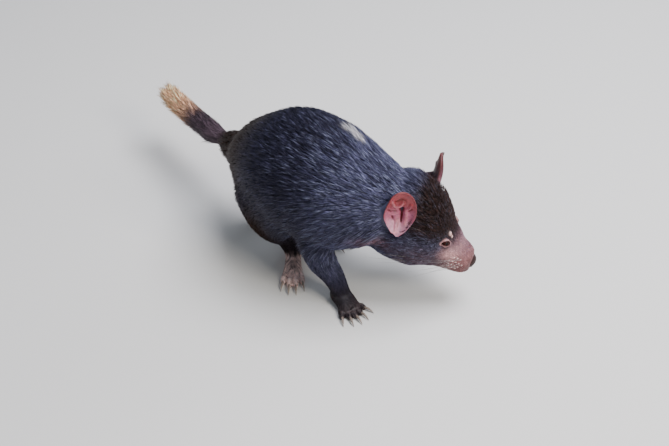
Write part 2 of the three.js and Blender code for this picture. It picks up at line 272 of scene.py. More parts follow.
class Form:
    """Rings round a curve through stations of x, y, z, half width, rise and drop."""

    def __init__(self, stations, axes=None, at=(0, 0, 0), reference=(0, 0, 1), squareness=1.0):
        self.stations = np.asarray(stations, float)
        self.axes = np.eye(3) if axes is None else axes
        self.at, self.reference = np.asarray(at, float), np.asarray(reference, float)
        self.squareness = squareness

    def frame(self, t):
        centre = along_curve(self.stations[:, :3], t)
        ahead = along_curve(self.stations[:, :3], t + 1e-3) - along_curve(
            self.stations[:, :3], t - 1e-3
        )
        ahead /= np.linalg.norm(ahead, axis=1)[:, None]
        up = self.reference - ahead * (ahead @ self.reference)[:, None]
        up /= np.linalg.norm(up, axis=1)[:, None]
        side = np.cross(up, ahead)
        turn = self.axes.T
        return centre @ turn + self.at, ahead @ turn, up @ turn, side @ turn

    def shell(self, t, angle, grow=0.0):
        centre, _, up, side = self.frame(t)
        width, rise, drop = along_curve(self.stations[:, 3:], t).T
        c, s = np.cos(angle), np.sin(angle)
        c, s = (np.sign(v) * np.abs(v) ** self.squareness for v in (c, s))
        high = np.where(s > 0, rise, drop)
        return (
            centre
            + side * (c * np.maximum(width + grow, 0.02))[:, None]
            + up * (s * np.maximum(high + grow, 0.02))[:, None]
        )

    def mesh(self, rings, sides, grow=0.0):
        """Vertices and faces of the closed form; grow may be a list along it."""
        t = np.repeat(np.linspace(0, 1, rings + 1), sides)
        grow = np.interp(t, np.linspace(0, 1, np.size(grow)), np.ravel(grow))
        angle = np.tile(np.arange(sides) / sides * 2 * np.pi, rings + 1)
        points = self.shell(t, angle, grow)
        i, j = np.meshgrid(np.arange(rings), np.arange(sides), indexing="ij")
        k = (j + 1) % sides
        quads = np.stack([i * sides + j, i * sides + k, (i + 1) * sides + k, (i + 1) * sides + j], -1)
        first, last = list(range(sides))[::-1], list(range(rings * sides, (rings + 1) * sides))
        return points, [*quads.reshape(-1, 4).tolist(), first, last]


def ball(at, radii, axes=None, facets=32):
    """Vertices and faces of an ellipsoid."""
    lon = np.arange(facets) / facets * 2 * np.pi
    lat = np.linspace(-np.pi / 2, np.pi / 2, facets // 2 + 1)[1:-1]
    la, lo = np.meshgrid(lat, lon, indexing="ij")
    unit = np.stack([np.cos(la) * np.cos(lo), np.cos(la) * np.sin(lo), np.sin(la)], -1)
    unit = np.vstack([unit.reshape(-1, 3), [[0, 0, -1], [0, 0, 1]]])
    points = unit * np.asarray(radii, float)
    if axes is not None:
        points = points @ np.asarray(axes).T
    rows = len(lat)
    faces = []
    for i in range(rows - 1):
        here, over = i * facets, (i + 1) * facets
        for j in range(facets):
            k = (j + 1) % facets
            faces.append([here + j, here + k, over + k, over + j])
    low, top, last = rows * facets, rows * facets + 1, (rows - 1) * facets
    faces += [[low, (j + 1) % facets, j] for j in range(facets)]
    faces += [[top, last + j, last + (j + 1) % facets] for j in range(facets)]
    return points + np.asarray(at, float), faces


def new_mesh(name, points_mm, faces, smooth=True):
    """An object from points in millimetres and lists of corners."""
    mesh = bpy.data.meshes.new(name)
    mesh.from_pydata(metres(points_mm).tolist(), [], faces)
    mesh.validate()
    if smooth:
        mesh.polygons.foreach_set("use_smooth", np.ones(len(mesh.polygons), bool))
    made = bpy.data.objects.new(name, mesh)
    bpy.context.scene.collection.objects.link(made)
    return made


def gathered(parts):
    """Several sets of vertices and faces as one."""
    points, faces, start = [], [], 0
    for p, f in parts:
        points.append(p)
        faces += [[i + start for i in face] for face in f]
        start += len(p)
    return np.vstack(points), faces


def hull_of(points):
    """Vertices and faces of the tightest convex form round points."""
    shape = bmesh.new()
    for point in points:
        shape.verts.new(point)
    bmesh.ops.convex_hull(shape, input=shape.verts[:])
    inside = [v for v in shape.verts if not v.link_faces]
    bmesh.ops.delete(shape, geom=inside, context="VERTS")
    shape.verts.index_update()
    corners = [[v.index for v in face.verts] for face in shape.faces]
    places = np.array([v.co[:] for v in shape.verts])
    shape.free()
    return places, corners


def head_point(x, y, z):
    """A point of the head, from its own axes to the body's millimetres."""
    return HEAD_AT_MM + HEAD_AXES @ np.array([x, y, z], float)


trunk = Form(TRUNK)
head = Form(HEAD, HEAD_AXES, HEAD_AT_MM, squareness=0.92)
tail = Form(TAIL)
legs = {name: Form(stations, reference=(1, 0, 0)) for name, stations in LEGS.items()}
flesh = [
    trunk.mesh(90, 80, -COAT_DEPTH["trunk"]),
    head.mesh(90, 72, HEAD_GROW),
    tail.mesh(60, 24, TAIL_GROW),
    *(leg.mesh(48, 40, LEG_GROW) for leg in legs.values()),
]
for name, side in (("hind_right", -1), ("hind_left", 1)):
    # The loose skin of the flank runs over the thigh, so the two read as one haunch
    t, angle = (v.ravel() for v in np.meshgrid(np.linspace(0.22, 0.52, 9), np.linspace(-0.9, 0.25, 9)))
    flank = trunk.shell(t, np.where(side > 0, angle, math.pi - angle), -COAT_DEPTH["trunk"] - 1)
    t, angle = (v.ravel() for v in np.meshgrid(np.linspace(0.1, 0.56, 9), np.linspace(0, 2 * math.pi, 24)))
    thigh = legs[name].shell(t, angle, -COAT_DEPTH["leg"])
    flesh.append(hull_of(np.vstack([flank, thigh])))
FACE_SWELLS = {  # place in the head's axes, radii
    "brow": ((78, 23, 25), (21, 12, 11)),
    "whisker_pad": ((122, 12, -3), (16, 12.5, 12)),
    "jaw": ((110, 6, -15), (24, 10, 9.5)),
    "cheek": ((50, 34, -6), (32, 22, 28)),
}
for (x, y, z), radii in FACE_SWELLS.values():
    for side in (1, -1):
        flesh.append(ball(head_point(x, side * y, z), np.array(radii) - 0.5, HEAD_AXES))
toes = []  # place, axes, length and radius of each toe, for the claws
for name, (place, heading, sole, turns, length, radius) in PAWS.items():
    paw_axes = turned(math.radians(heading))
    flesh.append(Form(sole, paw_axes, place, squareness=0.9).mesh(24, 28, -0.4))
    for i, turn in enumerate(turns):
        share = i / (len(turns) - 1) * 2 - 1
        root = np.array([sole[-1][0] - 4 - 5 * share**2, share * (sole[-1][3] - 1), radius - 0.4])
        toe_length = length * (1 - 0.12 * share**2)
        axes = turned(math.radians(heading + turn))
        root = np.array(place) + paw_axes @ root
        toes.append((name, root, axes, toe_length))
        toe = [
            (-8, 0, 2, radius, radius, radius),
            (toe_length * 0.3, 0, 1.2, radius * 0.86, radius * 0.9, radius),
            (toe_length * 0.55, 0, 1.5, radius * 0.94, radius * 1.02, radius),
            (toe_length * 0.85, 0, -0.5, radius * 0.88, radius * 0.9, radius * 0.95),
            (toe_length, 0, -1, radius * 0.45, radius * 0.45, radius * 0.5),
        ]
        flesh.append(Form(toe, axes, root).mesh(20, 18))

SKIN_GRAIN = 0.0018  # metres between points of the welded surface
skin = new_mesh("skin", *gathered(flesh))
weld = skin.modifiers.new("weld", "REMESH")
weld.mode, weld.voxel_size, weld.adaptivity = "VOXEL", SKIN_GRAIN, 0
bpy.context.view_layer.objects.active = skin
bpy.ops.object.modifier_apply(modifier=weld.name)


def co_of(mesh):
    """Vertex places of a mesh, as an array."""
    co = np.empty(len(mesh.vertices) * 3, np.float64)
    mesh.vertices.foreach_get("co", co)
    return co.reshape(-1, 3)


def eased(points, edges, rounds, share):
    """Each point moved towards the mean of its neighbours, by a share that may vary."""
    share = np.broadcast_to(share, len(points))[:, None]
    count = np.bincount(edges.ravel(), minlength=len(points))[:, None].clip(1)
    for _ in range(rounds):
        mean = np.stack(
            [
                np.bincount(edges[:, 0], points[edges[:, 1], k], len(points))
                + np.bincount(edges[:, 1], points[edges[:, 0], k], len(points))
                for k in range(points.shape[1])
            ],
            -1,
        )
        points = points + share * (mean / count - points)
    return points


def edges_of(mesh):
    pairs = np.empty(len(mesh.edges) * 2, np.int64)
    mesh.edges.foreach_get("vertices", pairs)
    return pairs.reshape(-1, 2)


def finer(obj, chosen):
    """Splits in four every face that has a chosen vertex."""
    shape = bmesh.new()
    shape.from_mesh(obj.data)
    shape.verts.ensure_lookup_table()
    cut = {e for i in np.nonzero(chosen)[0] for e in shape.verts[int(i)].link_edges}
    bmesh.ops.subdivide_edges(shape, edges=list(cut), cuts=1, use_grid_fill=True)
    shape.to_mesh(obj.data)
    shape.free()


def set_points(mesh, points_mm):
    mesh.vertices.foreach_set("co", metres(points_mm).astype(np.float32).ravel())
    mesh.update()


def local_points(mesh):
    return co_of(mesh) * 1000 - ORIGIN_MM


def normals_of(mesh):
    found = np.empty(len(mesh.vertices) * 3, np.float32)
    mesh.vertex_normals.foreach_get("vector", found)
    return found.reshape(-1, 3).astype(float)


def ramp(value, low, high):
    """0 below low, 1 above high, and smooth between."""
    share = np.clip((value - low) / (high - low), 0, 1)
    return share * share * (3 - 2 * share)


def unit(v):
    return v / np.linalg.norm(v, axis=1)[:, None].clip(1e-9)


def in_head(points):
    return (points - HEAD_AT_MM) @ HEAD_AXES


points = local_points(skin.data)
edges = edges_of(skin.data)
keep = np.maximum(ramp(in_head(points)[:, 0], 60, 95), ramp(-points[:, 2], -30, -16))
points = eased(points, edges, 40, 0.6 * (1 - keep))
points = eased(points, edges, 3, 0.4)
points[:, 2] = np.maximum(points[:, 2], 0.5)
set_points(skin.data, points)

# Face of the same hide: lids that close over the eyes, the mouth line, rows of whisker bumps,
# warts, and the hollows that the ears stand in. All are pushed in or out of the skin.
EYE_RADIUS = 6.0
EYE_LENGTH, EYE_HEIGHT = 7.6, 3.5  # half sizes of the opening between the lids
LID_DEPTH = 1.5
EYE_LOOK, EYE_RISE, EYE_SLANT = 60, -40, -12  # degrees
EYES = {}
for side_name, side in (("right", -1), ("left", 1)):
    axes = turned(math.radians(side * EYE_LOOK), math.radians(EYE_RISE))
    axes = axes @ turned(0, 0, math.radians(side * EYE_SLANT))
    EYES[side_name] = (EYE_FROM_NECK_MM * (1, side, 1), axes)
WHISKER_BUMPS = [  # x and z in the head's axes
    (113, 12.5), (118, 12.6), (123, 12.4),
    (109, 6.5), (114, 6.8), (119, 6.8), (124, 6.4), (129, 6),
    (111, 1), (116, 1), (121, 0.8), (126, 0.6),
    (114, -4.2), (119, -4.4), (124, -4.4),
]
BUMP_RADIUS, BUMP_HEIGHT = 1.5, 0.75
WARTS = [  # x, y and z in the head's axes, radius and height
    (87, 17.5, 39, 4.2, 2.5),
    (91.5, 16.5, 35.5, 3.2, 1.9),
    (60, 43, 39, 1.8, 1.1),
]
LEFT_WART_SHARE = 0.4
EAR_LENGTH, EAR_WIDTH, EAR_CUP = 62, 44, 15
EARS = {  # base in the head's axes, then turn, dip and roll, and which way the folds run
    "right": ((19, -59, 30), (-72, -14, 20), 1),
    "left": ((47, 45, 37.5), (5, -24, -16), -1),
}


def ear_section(t):
    """Half width and depth of an ear's cup at a share of its length."""
    half = EAR_WIDTH / 2 * np.sqrt((1 - (np.abs(t - 0.5) / 0.52) ** 2.4).clip(0.0004))
    half = half * (0.62 + 0.38 * ramp(t, 0.02, 0.5)) * (0.35 + 0.65 * ramp(t, 0, 0.14))
    return half, EAR_CUP * (1 - t) * ramp(t, 0, 0.45) + 0.6 + 2.4 * ramp(t, 0, 0.2)


MOUTH = np.array([(84, -20), (98, -17), (116, -11.5), (130, -10), (151, -11)], float)  # x and z
MOUTH_GROOVE, UPPER_LIP, LOWER_LIP = 1.7, 0.8, 0.9  # how deep the line is, how far the lips rise


def mouth_height(x):
    return np.interp(x, MOUTH[:, 0], MOUTH[:, 1])


def eye_place(h, eye):
    """Where points of the head lie over an eye: outwards, along it, up it, and past its rim."""
    at, axes = eye
    out_mm, along_mm, up_mm = ((h - at) @ axes).T
    half = np.where(up_mm > 0, EYE_HEIGHT * 1.15, EYE_HEIGHT * 0.8)
    edge = half * (1 - np.clip(np.abs(along_mm) / EYE_LENGTH, 0, 1) ** 2.2)
    past = np.where(
        np.abs(along_mm) < EYE_LENGTH,
        (np.abs(up_mm) - edge) * 0.85,
        np.hypot(np.abs(along_mm) - EYE_LENGTH, up_mm),
    )
    return out_mm, along_mm, up_mm, past


h = in_head(local_points(skin.data))
finer(skin, h[:, 0] > 62)
h = in_head(local_points(skin.data))
close = (h[:, 0] > 106) & (h[:, 2] > -16)
for at, _ in EYES.values():
    close |= np.linalg.norm(h - at, axis=1) < 15
close |= (h[:, 0] > 84) & (np.abs(h[:, 2] - mouth_height(h[:, 0])) < 4)
finer(skin, close)
points = local_points(skin.data)
edges = edges_of(skin.data)
points = eased(points, edges, 4, 0.5 * (in_head(points)[:, 0] > 60))
set_points(skin.data, points)

h = in_head(local_points(skin.data))
normal = normals_of(skin.data) @ HEAD_AXES
FAR_OFF = 99.0
past_eye = np.full(len(h), FAR_OFF)
for eye in EYES.values():
    at, axes = eye
    out_mm, along_mm, up_mm, past = eye_place(h, eye)
    near = (np.hypot(along_mm, up_mm) < 15) & (out_mm > -7)
    edge_step = np.where(near & (np.abs(past) < 0.26) & (np.abs(along_mm) < EYE_LENGTH), past, 0)
    up_mm = up_mm - np.sign(up_mm) * edge_step
    past = past - edge_step
    radial = along_mm**2 + up_mm**2
    ball_out = np.sqrt(np.clip((EYE_RADIUS + LID_DEPTH) ** 2 - radial, 0, None))
    behind = np.sqrt(np.clip((EYE_RADIUS - 2.4) ** 2 - radial, 0, None)) - 1
    lid_out = np.maximum(ball_out, out_mm - 1.6) + 0.45 * np.exp(-((past / 0.9) ** 2))
    wanted = np.where(past < -0.05, behind, lid_out + ramp(past, 1.5, 9) * (out_mm - lid_out))
    out_new = np.where(near, wanted, out_mm)
    h = np.where(near[:, None], np.stack([out_new, along_mm, up_mm], -1) @ axes.T + at, h)
    past_eye = np.minimum(past_eye, np.where(near, past, FAR_OFF))
in_ear, near_ear, at_lobe = (np.zeros(len(h)) for _ in range(3))
for base, turns, _ in EARS.values():
    ear_axes = turned(*(math.radians(v) for v in turns))
    e = (h - base) @ ear_axes
    t = ((e[:, 2] / EAR_LENGTH + 0.16) / 1.16).clip(0, 1)
    half, depth = ear_section(t)
    share = (1 - (e[:, 1] / half) ** 2).clip(0, None)
    floor_x = -depth * share - 2.5
    below_tip = e[:, 2] < EAR_LENGTH
    inside = below_tip & (e[:, 2] > -10.5) & (share > 0.05) & (e[:, 0] > floor_x) & (e[:, 0] < 22)
    e[:, 0] = np.where(inside, floor_x, e[:, 0])
    h = np.where(inside[:, None], e @ ear_axes.T + base, h)
    covered = (np.abs(e[:, 1]) < 1.1 * half + 1.5) & (e[:, 0] > floor_x - 6.5) & (e[:, 0] < 16)
    in_ear = np.maximum(in_ear, inside | (covered & below_tip & (e[:, 2] > -11)))
    close = below_tip & (np.abs(e[:, 1]) < 1.25 * half) & (np.abs(e[:, 0]) < 15) & (e[:, 2] > -14)
    near_ear = np.maximum(near_ear, close)
    lobe = np.exp(-((e[:, 1] / 14) ** 2) - ((e[:, 2] + 12) / 7) ** 2)
    at_lobe = np.maximum(at_lobe, lobe)
push = np.zeros(len(h))
muzzle = ramp(h[:, 0], 84, 92)
over_mouth = h[:, 2] - mouth_height(h[:, 0])
push -= muzzle * MOUTH_GROOVE * np.exp(-((over_mouth / 0.75) ** 2))
push += muzzle * UPPER_LIP * np.exp(-(((over_mouth - 2.4) / 1.5) ** 2))
push += muzzle * LOWER_LIP * np.exp(-(((over_mouth + 2.6) / 1.6) ** 2))
bumpy = np.zeros(len(h))
for side in (1, -1):
    for x, z in WHISKER_BUMPS:
        apart = np.hypot(h[:, 0] - x, h[:, 2] - z)
        on_side = (h[:, 1] * side > 8) & (apart < BUMP_RADIUS)
        raised = np.where(on_side, (1 - (apart / BUMP_RADIUS).clip(0, 1) ** 2) ** 1.5, 0)
        push += BUMP_HEIGHT * raised
        bumpy = np.maximum(bumpy, raised)
warty = np.zeros(len(h))
for x, y, z, radius, height in WARTS:
    for side in (1, -1):
        apart = np.hypot(np.hypot(h[:, 0] - x, h[:, 1] - side * y), (h[:, 2] - z) * 0.8) / radius
        raised = (1 - apart.clip(0, 1) ** 2) ** 1.5
        push += height * raised * (1 if side < 0 else LEFT_WART_SHARE)
        warty = np.maximum(warty, raised)
push *= past_eye > 0.5
h += normal * push[:, None]
set_points(skin.data, HEAD_AT_MM + h @ HEAD_AXES.T)

# Markings of the hide. Every point of the skin is placed on the body's forms, and the lie of
# the hair, its length and its colour follow from that, the same in the skin and in the coat.
FORMS = {"trunk": trunk, "head": head, "tail": tail, **legs}
points = local_points(skin.data)
edges = edges_of(skin.data)
normal = normals_of(skin.data)


def placed_on(form, points, steps=140):
    """Each point's share along a form, angle round it, and height over its shell."""
    t = np.linspace(0, 1, steps)
    centre, ahead, up, side = form.frame(t)
    best = np.empty(len(points), int)
    for start in range(0, len(points), 20000):
        part = points[start : start + 20000]
        apart = part[:, None] - centre[None]
        flat = np.abs(np.einsum("nkc,kc->nk", apart, ahead)) * 4 + np.linalg.norm(apart, axis=2)
        best[start : start + 20000] = flat.argmin(1)
    apart = points - centre[best]
    across = (apart * side[best]).sum(1)
    high = (apart * up[best]).sum(1)
    sizes = along_curve(form.stations[:, 3:], t)[best]
    reach = np.hypot(across / sizes[:, 0], high / np.where(high > 0, sizes[:, 1], sizes[:, 2]))
    over = (reach - 1) * sizes.mean(1)
    past = np.abs((apart * ahead[best]).sum(1))
    return t[best], np.arctan2(high, across), over + past, ahead[best]


places = {name: placed_on(form, points) for name, form in FORMS.items()}
over = np.stack([place[2] for place in places.values()], -1)
PULL = {"trunk": -4.0, "head": -2.0, "tail": 0.0}  # the trunk claims the skin before the legs do
LEG_PULL, BLEND_MM = 3.0, 7
over += np.array([PULL.get(name, LEG_PULL) for name in FORMS])
share = np.exp(-(over - over.min(1)[:, None]) / BLEND_MM)
share /= share.sum(1)[:, None]
region = over.argmin(1)
REGION = {name: i for i, name in enumerate(FORMS)}
flow = np.zeros_like(points)
for i, name in enumerate(FORMS):
    t, angle, _, ahead = places[name]
    if name == "trunk":
        flank = ramp(-normal[:, 2], -0.75, 0.3)
        lie = -ahead + np.array([0, 0, -0.75]) * flank[:, None]
    elif name == "head":
        h_normal = normal @ HEAD_AXES
        lie = -ahead + np.array([0, 0, -0.35]) * ramp(-h_normal[:, 2], -0.5, 0.6)[:, None]
    else:
        lie = ahead
    flow += share[:, i : i + 1] * lie
flow = eased(flow, edges, 30, 0.5)
flow -= normal * (flow * normal).sum(1)[:, None]
flow /= np.linalg.norm(flow, axis=1)[:, None].clip(1e-6)

h = in_head(points)
on_head = region == REGION["head"]
on_trunk = region == REGION["trunk"]
on_tail = region == REGION["tail"]
on_leg = ~(on_head | on_trunk | on_tail)
face = ramp(h[:, 0], 60, 104)  # 0 at the crown, 1 at the muzzle
foot = ramp(-points[:, 2], -46, -14)  # 0 up the leg, 1 at the toes
bare_eye = np.exp(-((past_eye.clip(0) / 2.9) ** 2)) * (past_eye < 20)

# Fine streaks in the coat: noise drawn out along the lie of the hair
COMB_STROKES = 14
rng = np.random.default_rng(5)
combed = rng.normal(0, 1, len(points))
way = unit(points[edges[:, 1]] - points[edges[:, 0]])
for _ in range(COMB_STROKES):
    total, weight = combed.copy(), np.ones(len(points))
    for here, there in ((0, 1), (1, 0)):
        along = np.abs((way * flow[edges[:, here]]).sum(1)) ** 8
        total += np.bincount(edges[:, here], along * combed[edges[:, there]], len(points))
        weight += np.bincount(edges[:, here], along, len(points))
    combed = total / weight
combed /= combed.std()

# Colours of hair and bare skin, as the eye takes them in open shade; some of them are painted sunlight, sheen
# and shade
# the dark brown also serves as painted shade on the rump and low haunch, and the grey-white is a painted
# sheen
CHARCOAL, BROWN, SHEEN_GREY_WHITE = srgb("#323244"), srgb("#2b1b12"), srgb("#d6d2d2")
# painted sunlight: a lighter grey for the neck and shoulders and a lighter brown for the cheeks
SUNLIT_NECK_GREY, SUNLIT_CHEEK_BROWN = srgb("#545570"), srgb("#6b545a")
MUZZLE, PINK, BUMP_PINK = srgb("#8a5e5d"), srgb("#dfaeac"), srgb("#ecccc5")
# the toe pink is the toes' own pale pink brightened as painted sunlight; the paw brown carries painted shade
LIP, SUNLIT_TOE_PINK, SHADED_PAW_BROWN = srgb("#2c2022"), srgb("#ecccc4"), srgb("#1e1616")
MAUVE, CREAM = srgb("#54444d"), srgb("#ffc99e")
LID_PINK, LID_EDGE = srgb("#c08d8a"), srgb("#3a1a18")
NOSE_EDGE, WART_PINK = srgb("#4a2b2a"), srgb("#dcb2aa")
UNDER_HAIR = 0.75  # the skin is darker than the hair over it
SHEEN_PATCH_AT, SHEEN_PATCH_SIZE = (98, 52), (19, 11)  # painted grey-white sheen on the top of the hump, in the body's millimetres


def mixed(colour, other, share):
    return colour + (np.array(other[:3]) - colour) * np.asarray(share)[:, None]


def coat_tone(points, h):
    """Colour of the coat at places on the body, with painted sunlight, sheen and shade among it."""
    tone = np.tile(np.array(CHARCOAL[:3]), (len(points), 1))
    # painted sunlight: the coat grows lighter grey towards the front and lighter brown low on the cheeks
    tone = mixed(tone, SUNLIT_NECK_GREY, 0.75 * ramp(points[:, 0], 70, 150))
    tone = mixed(tone, SUNLIT_CHEEK_BROWN, 0.7 * ramp(h[:, 0], 20, 70) * ramp(-h[:, 2], -30, 0))
    # painted shade: the rump and the low haunch go near-black brown, a brown coat darkened as if in shade
    rump = ramp(-points[:, 0], -5, 75)
    shaded_low_haunch = ramp(-points[:, 0], -50, 10) * ramp(-points[:, 2], -170, -90)
    tone = mixed(tone, BROWN, 0.97 * np.maximum(rump, shaded_low_haunch))
    brow = ramp(h[:, 0], 5, 32) * ramp(-h[:, 0], -120, -100) * ramp(h[:, 2], 4, 46)
    tone = mixed(tone, BROWN, 0.95 * brow)
    under_ear = np.exp(-(((h[:, 0] - 8) / 26) ** 2) - ((h[:, 2] + 6) / 12) ** 2)
    tone = mixed(tone, MUZZLE, 0.5 * under_ear * (h[:, 0] < 60))
    bridge = ramp(h[:, 2], 12, 24)
    tone = mixed(tone, MUZZLE, (0.85 - 0.45 * bridge) * ramp(h[:, 0], 92, 116))
    # painted sheen: a soft grey-white spot on the top of the hump
    patch = np.hypot(*((points[:, i] - SHEEN_PATCH_AT[i]) / SHEEN_PATCH_SIZE[i] for i in (0, 1)))
    patch += 0.3 * np.sin(points[:, 0] / 3.1)
    tone = mixed(tone, SHEEN_GREY_WHITE, 0.85 * ramp(-patch, -1.2, -0.4) * ramp(points[:, 2], 225, 245))
    # painted shade: the dark brown hair of the lower legs and paws is deepened towards the floor
    tone = mixed(tone, SHADED_PAW_BROWN, 0.9 * ramp(-points[:, 2], -80, -16) * ramp(-h[:, 2], 62, 80))
    brush_share = ramp(-points[:, 0], 128, 172)
    tone = mixed(tone, MAUVE, brush_share)
    return mixed(tone, CREAM, ramp(-points[:, 0], 228, 300))


tone = coat_tone(points, h)
eye_to_nose = np.exp(-(((h[:, 0] - 103) / 12) ** 2)) * np.exp(-(((h[:, 2] - 15) / 10) ** 2)) * on_head
tone = mixed(tone, PINK, 0.55 * eye_to_nose)
skin_tone = tone * UNDER_HAIR
face_bare = on_head * ramp(h[:, 0], 94, 114)
skin_tone = mixed(skin_tone, MUZZLE, 0.9 * face_bare)
skin_tone = mixed(skin_tone, NOSE_EDGE, 0.6 * on_head * ramp(h[:, 0], 130, 140))
skin_tone = mixed(skin_tone, PINK, 0.9 * eye_to_nose)
skin_tone = mixed(skin_tone, LID_PINK, 0.85 * bare_eye)
skin_tone = mixed(skin_tone, LID_EDGE, 0.9 * ramp(-past_eye, -1.1, -0.3))
skin_tone = mixed(skin_tone, LIP, 0.85 * muzzle * np.exp(-((over_mouth / 1.3) ** 2)) * on_head)
skin_tone = mixed(skin_tone, BUMP_PINK, 0.9 * bumpy)
skin_tone = mixed(skin_tone, WART_PINK, 0.85 * np.minimum(1, 1.6 * warty))
# painted sunlight: the hind toes and the hair over them take the bright toe pink, the front toes only a trace
hind = on_leg & (points[:, 0] < np.where(points[:, 1] > 30, -9, 95))
ragged = 4 * combed.clip(-1.5, 1.5)
toe_height = np.where(hind, ramp(-points[:, 2] + ragged, -33, -4), ramp(-points[:, 2], -20, -9))
skin_tone = mixed(skin_tone, SUNLIT_TOE_PINK, np.where(hind, 1.0, 0.05) * toe_height * on_leg)
tone = mixed(tone, SUNLIT_TOE_PINK, 0.6 * toe_height * hind)


def give_colours(mesh, name, colours):
    """Stores a linear colour for every vertex."""
    rgba = np.ones((len(colours), 4), np.float32)
    rgba[:, :3] = colours.clip(0, 1)
    layer = mesh.color_attributes.new(name, "FLOAT_COLOR", "POINT")
    layer.data.foreach_set("color", rgba.ravel())


give_colours(skin.data, "tone", skin_tone)

# Hide of a living animal, supple and slightly greasy: matt and dark under the coat, finely
# pored and a little see-through where it is bare, on the muzzle, the lids and the toes
PORES_A_METRE, BLOTCHES_A_METRE = 900.0, 160.0  # pores near 1 mm, blotches near 6 mm
skin_stuff, out = new_material("furred_skin")
tree = skin_stuff.node_tree
tone_of = add_node(tree, "ShaderNodeAttribute", {"attribute_name": "tone"})
spot = add_node(tree, "ShaderNodeTexCoord")
pores = add_node(
    tree, "ShaderNodeTexNoise", {"Scale": PORES_A_METRE, "Detail": 3.0}, Vector=spot.outputs["Object"]
)
blotch = add_node(
    tree, "ShaderNodeTexNoise", {"Scale": BLOTCHES_A_METRE, "Detail": 2.0}, Vector=spot.outputs["Object"]
)
shade = add_node(
    tree,
    "ShaderNodeMapRange",
    {"From Min": 0.3, "From Max": 0.7, "To Min": 0.78, "To Max": 1.2},
    Value=blotch.outputs["Fac"],
)
coloured = add_node(
    tree, "ShaderNodeVectorMath", {"operation": "MULTIPLY"}, _0=tone_of.outputs["Color"], _1=shade.outputs[0]
)
relief = add_node(tree, "ShaderNodeBump", {"Strength": 0.5, "Distance": 0.0006}, Height=pores.outputs["Fac"])
shader = add_node(
    tree,
    "ShaderNodeBsdfPrincipled",
    {
        "Roughness": 0.52,
        "Specular IOR Level": 0.4,
        "Subsurface Weight": 0.12,
        "Subsurface Radius": (0.004, 0.0015, 0.001),
    },
    Base_Color=coloured.outputs[0],
    Normal=relief.outputs[0],
)
tree.links.new(shader.outputs[0], out.inputs[0])
skin.data.materials.append(skin_stuff)
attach(skin, "root")
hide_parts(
    *("torso", "neck", "head", "tail_root"),
    *(f"{leg}_{part}" for leg in PAWS for part in ("leg", "paw")),
)

# Eyes: two wet balls about 12 mm across that sit behind the lids, a dark brown iris round a
# black pupil, with the clear cornea bulging a little over both.
EYE_BROWN, PUPIL_BLACK, EYE_RIM = srgb("#34140e"), srgb("#040303"), srgb("#0c0706")
PUPIL_RADIUS, IRIS_RADIUS, CORNEA_BULGE = 2.4, 4.8, 0.5
# Cornea under a film of tears: smooth and softly bright, so the eye reads as dark and alive
eye_stuff, out = new_material("wet_eye")
tree = eye_stuff.node_tree
shade_of = add_node(tree, "ShaderNodeAttribute", {"attribute_name": "tone"})
shader = add_node(
    tree,
    "ShaderNodeBsdfPrincipled",
    {"Roughness": 0.16, "IOR": 1.34, "Specular IOR Level": 0.35},
    Base_Color=shade_of.outputs["Color"],
)
tree.links.new(shader.outputs[0], out.inputs[0])
for side_name, (at, axes) in EYES.items():
    eye_points, faces = ball((0, 0, 0), (EYE_RADIUS,) * 3, facets=48)
    off_axis = np.hypot(eye_points[:, 1], eye_points[:, 2])
    front = eye_points[:, 0] > 0
    iris = np.tile(np.array(EYE_BROWN[:3]), (len(eye_points), 1))
    iris = mixed(iris, PUPIL_BLACK, np.where(front, ramp(-off_axis, -PUPIL_RADIUS, -1.9), 0))
    iris = mixed(iris, EYE_RIM, np.where(front, ramp(off_axis, 4.2, IRIS_RADIUS), 1))
    eye_points[:, 0] += np.where(front, CORNEA_BULGE * ramp(-off_axis, -4.4, -1.5), 0)
    eyeball = new_mesh(f"eyeball_{side_name}", head_point(*at) + eye_points @ axes.T @ HEAD_AXES.T, faces)
    give_colours(eyeball.data, "tone", iris)
    eyeball.data.materials.append(eye_stuff)
    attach(eyeball, "root")
    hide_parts(f"eye_{side_name}")

# Nose: a bare, moist pad at the end of the muzzle, part of the same hide but hairless, with
# two comma-shaped nostrils and a groove below.
NOSE_GRAIN = 0.00042  # metres between points of its welded surface
# the nostril colour is painted shade
NOSE_BROWN, NOSTRIL_SHADE = srgb("#2c1917"), srgb("#070506")
NOSE_AT = np.array([138.6, 0, 3.4])
pad_parts = [
    ball(NOSE_AT, (8.8, 12, 9.6)),
    ball(NOSE_AT + (0, 0, -8), (5.2, 3.6, 6)),
    ball(NOSE_AT + (1.5, 6.2, -1.4), (6, 5, 5.6)),
    ball(NOSE_AT + (1.5, -6.2, -1.4), (6, 5, 5.6)),
]
pad_points, faces = gathered(pad_parts)
nose = new_mesh("nose_pad", HEAD_AT_MM + pad_points @ HEAD_AXES.T, faces)
weld = nose.modifiers.new("weld", "REMESH")
weld.mode, weld.voxel_size = "VOXEL", NOSE_GRAIN
bpy.context.view_layer.objects.active = nose
bpy.ops.object.modifier_apply(modifier=weld.name)
n = in_head(local_points(nose.data))
n = eased(n, edges_of(nose.data), 12, 0.5)
away = normals_of(nose.data) @ HEAD_AXES
dent = np.zeros(len(n))
for side in (1, -1):
    hole = np.hypot((n[:, 1] - side * 4.6) / 2.1, (n[:, 2] - 4.2) / 1.7)
    slit = np.hypot((n[:, 1] - side * 7.4) / 2.6, (n[:, 2] - 2.6) / 0.8)
    front = n[:, 0] > 140.5
    dent += np.where(front, 4.2 * np.exp(-(hole**4)) + 1.8 * np.exp(-(slit**2)), 0)
dent += 0.9 * np.exp(-((n[:, 1] / 0.6) ** 2)) * ramp(-n[:, 2], -5, 0)
n -= away * dent[:, None]
set_points(nose.data, HEAD_AT_MM + n @ HEAD_AXES.T)
